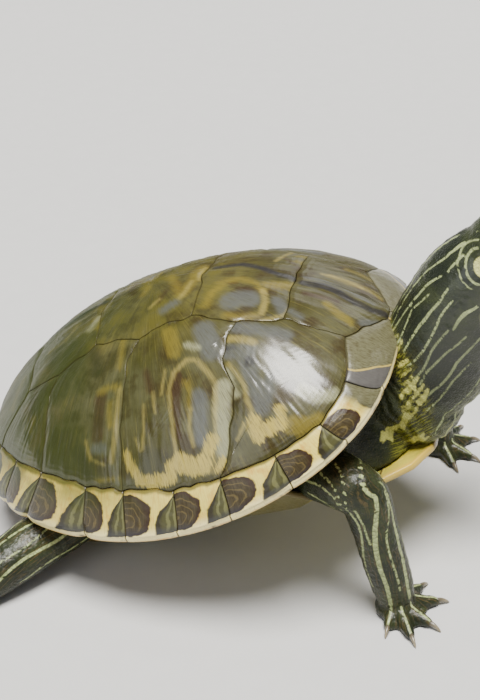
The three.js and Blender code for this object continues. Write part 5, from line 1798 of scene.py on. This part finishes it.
def scales_group():
    """Height of small scales, and how deep each place is in the creases between them."""
    net, given, out = new_group("small scales", ["Place"], ["Scale"], ["Height", "Crease"])
    place = given["Place"]
    shake = {0: net.noise(place, 300.0, 2, output=1), "Scale": 0.0008}
    shake = net.node("ShaderNodeVectorMath", shake, operation="SCALE")
    bent = net.node("ShaderNodeVectorMath", {0: place, 1: shake.outputs[0]}, operation="ADD").outputs[0]
    cells = {"Vector": bent, "Scale": given["Scale"]}
    edge = net.node("ShaderNodeTexVoronoi", cells, feature="DISTANCE_TO_EDGE").outputs[0]
    height = net.plus(net.fade(edge, 0.0, 0.32), net.times(net.noise(place, 2600.0, 3), 0.25))
    net.fill(out, Height=height, Crease=net.fade(edge, 0.0, 0.12, 1.0, 0.0))
    return net.tree


SMALL_SCALES = scales_group()


def skin_material():
    """Dark wet skin: small scales, pale lines, the red mark, a horny beak, and painted shade on the neck's
    flanks, in the creases, the mouth line, the nostrils and round the lids.
    """
    material, net, surface = new_material("skin_wet", 0.4, Specular_IOR_Level=0.2, Coat_Roughness=0.25)
    place, flow = net.place(), net.vector("flow")
    place_mm = net.stretched(place, (1000, 1000, 1000))
    ahead, _, rise = net.split(place)
    limb, loose, beak, under, shade = (net.value(n) for n in ("limb", "loose", "beak", "under", "shade"))
    fine = net.group(SMALL_SCALES, Place=place, Scale=900.0)
    large = net.group(SMALL_SCALES, Place=place, Scale=430.0)
    clouds = net.noise(place, 95.0, 4)
    threads = net.streaks(flow, (0.13, 1.3, 0.5), 4, 0.6)
    mottle = net.streaks(flow, (0.5, 0.5, 0.5), 4, 0.65)
    flecks = net.streaks(flow, (0.26, 1.0, 0.5), 3, 0.55)

    def marked(name, ragged, soft):
        looks = {"Flow": place_mm, "Ragged": ragged, "Soft": soft}
        return net.group(MARK_MASK, Distance=net.value(name), **looks)["Mask"]

    red_mark = net.mix(net.fade(ahead, *MARK_TURNS_RED), MARK_YELLOW, MARK_RED)
    color = net.layers(
        DARK_SKIN,
        (net.fade(clouds, 0.35, 0.7), GREEN_SKIN),
        (net.fade(threads, 0.56, 0.70, 0.0, 0.3), THREAD_SKIN),
        (net.times(net.fade(threads, 0.50, 0.36, 0.0, 0.7), limb), TAN_SKIN),
        (net.times(loose, 0.8), LOOSE_SKIN),
        (net.times(net.fade(flecks, 0.47, 0.57), net.times(loose, 0.8)), LOOSE_YELLOW),
        (net.times(under, net.fade(mottle, 0.38, 0.6), 0.55), UNDER_SKIN),
        # Painted shade on the neck's flanks: the skin darkens there and the pale lines dim.
        (net.times(shade, 0.6), SHADED_SKIN),
        (net.times(marked("stripe", 0.22, 0.2), net.fade(shade, 0.0, 1.0, 0.95, 0.5)), PALE_LINE),
        (net.times(marked("fleck", 1.9, 0.35), 0.85), FLECK_YELLOW),
        (marked("red", 0.45, 0.3), red_mark),
        (net.times(beak, 0.6), BEAK_HORN),
        # Painted shade: the creases between scales are darkened, more on the limbs.
        (net.times(large["Crease"], net.times(limb, 0.45)), CREASE_SHADE),
        (net.times(fine["Crease"], 0.25), CREASE_SHADE),
        # Painted shade: the mouth line, the nostril pits and the lids' edge round the eye are darkened, as
        # the shade in these gaps and hollows.
        (net.fade(net.value("mouth"), 0.12, 0.4, 0.9, 0.0), MOUTH_SHADE),
        (net.fade(net.value("pit"), 0.3, 0.55, 0.95, 0.0), NOSTRIL_SHADE),
        (net.fade(net.value("lid"), 1.02, 1.2, 0.85, 0.0), LID_SHADE),
    )
    mixed = {0: net.times(limb, 0.85), 2: fine["Height"], 3: large["Height"]}
    height = net.node("ShaderNodeMix", mixed, data_type="FLOAT").outputs[0]
    height = net.times(height, net.fade(ahead, 0.088, 0.098, 1.0, 0.35))
    coat = net.times(net.fade(rise, 0.070, 0.092, 0.14, 0.8), net.seen_flat(1.0, 0.25))
    rough = net.plus(net.times(fine["Crease"], 0.2), 0.33)
    normal = net.bump(height, 0.5, 0.0003)
    net.fill(surface, Base_Color=color, Roughness=rough, Coat_Weight=coat, Normal=normal)
    return material


def eye_mesh(name, side):
    """Eyeball turned outwards: rings round the sight line, with the cornea a little proud."""
    centre = head_point(EYE_ALONG, -side * EYE_OUT, EYE_UP)
    sight = unit(HEAD_WAY * 0.32 + np.array([0, -side * 1.0, 0]) + HEAD_UP * 0.05)
    across = unit(HEAD_WAY - (HEAD_WAY @ sight) * sight)
    rise = np.cross(sight, across) * (-side)
    turn = np.linspace(0.02, np.pi - 0.05, 48)
    radius = EYE_RADIUS * (1 + 0.05 * np.exp(-((turn / 0.5) ** 2)))
    around = 2 * np.pi * np.arange(64) / 64
    ring = np.cos(around)[:, None] * across + np.sin(around)[:, None] * rise
    way = np.cos(turn)[:, None, None] * sight + np.sin(turn)[:, None, None] * ring
    rings = centre + radius[:, None, None] * way
    if side == 1:
        rings = rings[:, ::-1]
    points, faces = tube(rings)
    mesh = make_mesh(name, points, faces)
    arm = unit(points - centre)
    add_values(mesh, {"look": np.stack([arm @ across, arm @ rise, arm @ sight], axis=1) * EYE_RADIUS})
    return mesh


def eye_material():
    """Yellow-green iris with a dark bar through the round pupil, under a wet coat."""
    material, net, surface = new_material("eye_wet", 0.12, Coat_Weight=1.0, Coat_Roughness=0.03)
    look = net.vector("look")
    x, y, _ = net.split(look)
    far = net.math("SQRT", net.plus(net.times(x, x), net.times(y, y)))
    spokes = net.noise(look, 3.2, 4, 0.7)
    bar = net.fade(net.size(net.plus(y, net.times(spokes, 0.2))), 0.35, 0.7, 1.0, 0.0)
    color = net.layers(
        (0.30, 0.34, 0.05),
        (spokes, (0.60, 0.58, 0.14)),
        (net.times(bar, 0.92), (0.025, 0.022, 0.01)),
        (net.fade(far, IRIS, IRIS + 0.4), (0.02, 0.02, 0.012)),
        (net.fade(far, PUPIL, PUPIL + 0.12, 1.0, 0.0), (0.002, 0.002, 0.002)),
        (net.band(far, PUPIL + 0.2, 0.03, 0.14, 0.8), (0.62, 0.62, 0.2)),
    )
    net.fill(surface, Base_Color=color)
    return material


def claw_mesh(name, kind, side):
    """A foot's claws joined in one mesh: rings shrink along an arc that bends down."""
    foot, ankle, ways = foot_frame(kind, side)
    t = np.linspace(0, 1, CLAW_ROWS)
    root, length = foot["toe"] * 0.78, CLAW_LENGTH + CLAW_ROOT
    rise = root + 0.5 * np.sin(np.pi * t) - (root - 0.35) * t**2
    radius = 1.15 * (1 - t) ** 0.6 + 0.16
    parts = []
    for way, reach in list(zip(ways, foot["lengths"]))[foot["bare"] :]:
        start = reach - CLAW_LENGTH - CLAW_ROOT
        centres = ankle + way * (start + length * t)[:, None]
        centres[:, 2] = rise
        parts.append(toe_tube(centres, way, radius * 0.8, radius))
    points, faces = joined(parts)
    points[:, 2] = np.maximum(points[:, 2], 0.03)
    mesh = make_mesh(name, points, faces)
    share = np.append(np.repeat(t, TOE_COUNT), [0, 1])
    add_values(mesh, {"share": np.concatenate([share] * len(parts))})
    return mesh


def claw_material():
    """Horn of a claw: dark at the root, paler to the tip, with fine fibres."""
    material, net, surface = new_material("claw_horn", 0.3, Coat_Weight=0.3, Coat_Roughness=0.15)
    fibres = net.noise(net.place(), 1400.0, 3)
    color = net.layers(
        (0.035, 0.03, 0.02),
        (net.fade(net.value("share"), 0.1, 0.85), (0.23, 0.19, 0.12)),
        (net.fade(fibres, 0.4, 0.7, 0.0, 0.5), (0.10, 0.085, 0.05)),
    )
    net.fill(surface, Base_Color=color, Normal=net.bump(fibres, 0.25, 0.0002))
    return material


def build_flesh():
    mesh = skin_mesh()
    mesh.name = "skin"
    mesh.polygons.foreach_set("use_smooth", np.ones(len(mesh.polygons), dtype=bool))
    add_values(mesh, skin_values(mesh_points(mesh)))
    add_piece(mesh, skin_material(), FLESH_NODES)
    eye, claw = eye_material(), claw_material()
    for word, side in SIDES:
        add_piece(eye_mesh(f"eyeball_{word}", side), eye, [f"eye_{word}"])
        for kind in FEET:
            add_piece(claw_mesh(f"claws_{kind}_{word}", kind, side), claw)


build_flesh()


# ---- Stage, light and camera ----

TARGET = Vector((-0.01607, 0.00001, 0.0707))
BACK = Vector((0.25703, -0.81700, 0.51619))
CAMERA_UP = Vector((-0.06653, 0.51791, 0.85285))
CAMERA_DISTANCE = 0.498
SENSOR = 36
# The view's size, the place of the lens's axis in it and the focal length, in its own pixels.
VIEW_SIZE = (480, 700)
AXIS_AT = (192, 355)
FOCAL = 1308


def add_camera():
    data = bpy.data.cameras.new("camera")
    data.sensor_width = SENSOR
    data.lens = SENSOR * FOCAL / VIEW_SIZE[1]
    data.shift_x = (VIEW_SIZE[0] / 2 - AXIS_AT[0]) / VIEW_SIZE[1]
    data.shift_y = (AXIS_AT[1] - VIEW_SIZE[1] / 2) / VIEW_SIZE[1]
    data.clip_start = 0.01
    camera = bpy.data.objects.new("camera", data)
    bpy.context.scene.collection.objects.link(camera)
    back = BACK.normalized()
    right = CAMERA_UP.cross(back).normalized()
    up = back.cross(right)
    turn = Matrix((right, up, back)).transposed()
    camera.matrix_world = Matrix.Translation(TARGET + back * CAMERA_DISTANCE) @ turn.to_4x4()
    bpy.context.scene.camera = camera


def add_light(name, kind, way, distance, power, color, **size):
    """A light that looks back along way at the model, from a distance."""
    data = bpy.data.lights.new(name, kind)
    for key, value in {"energy": power, "color": color, **size}.items():
        setattr(data, key, value)
    light = bpy.data.objects.new(name, data)
    bpy.context.scene.collection.objects.link(light)
    way = Vector(way).normalized()
    light.location = TARGET + way * distance
    light.rotation_euler = way.to_track_quat("Z", "Y").to_euler()


def add_floor():
    half = 3.0
    corners = np.array([(-half, -half, 0), (half, -half, 0), (half, half, 0), (-half, half, 0)]) / MM
    mesh = make_mesh("floor", corners, np.array([[0, 1, 2, 3]]))
    floor = bpy.data.objects.new("floor", mesh)
    bpy.context.scene.collection.objects.link(floor)
    material, net, surface = new_material("floor_paper", 0.8)
    grain = net.noise(net.place(), 90.0, 3)
    net.put(surface["Base Color"], net.mix(grain, (0.50, 0.50, 0.49), (0.54, 0.54, 0.53)))
    mesh.materials.append(material)


def add_world():
    world = bpy.data.worlds.new("studio")
    bpy.context.scene.world = world
    world.use_nodes = True
    sky = world.node_tree.nodes["Background"].inputs
    Net(world.node_tree).fill(sky, Color=(0.80, 0.84, 0.90), Strength=0.24)


add_floor()
add_world()
add_light("key", "SUN", (0.08, -0.15, 0.985), 0, 8.4, (1.0, 0.975, 0.93), angle=math.radians(28))
add_light("fill", "AREA", (-0.4, -0.85, 0.45), 1.3, 5, (0.94, 0.97, 1.0), size=0.9)
add_light("back", "AREA", (0.2, 0.9, 0.5), 1.2, 1.5, (1.0, 0.98, 0.95), size=0.6)
add_camera()
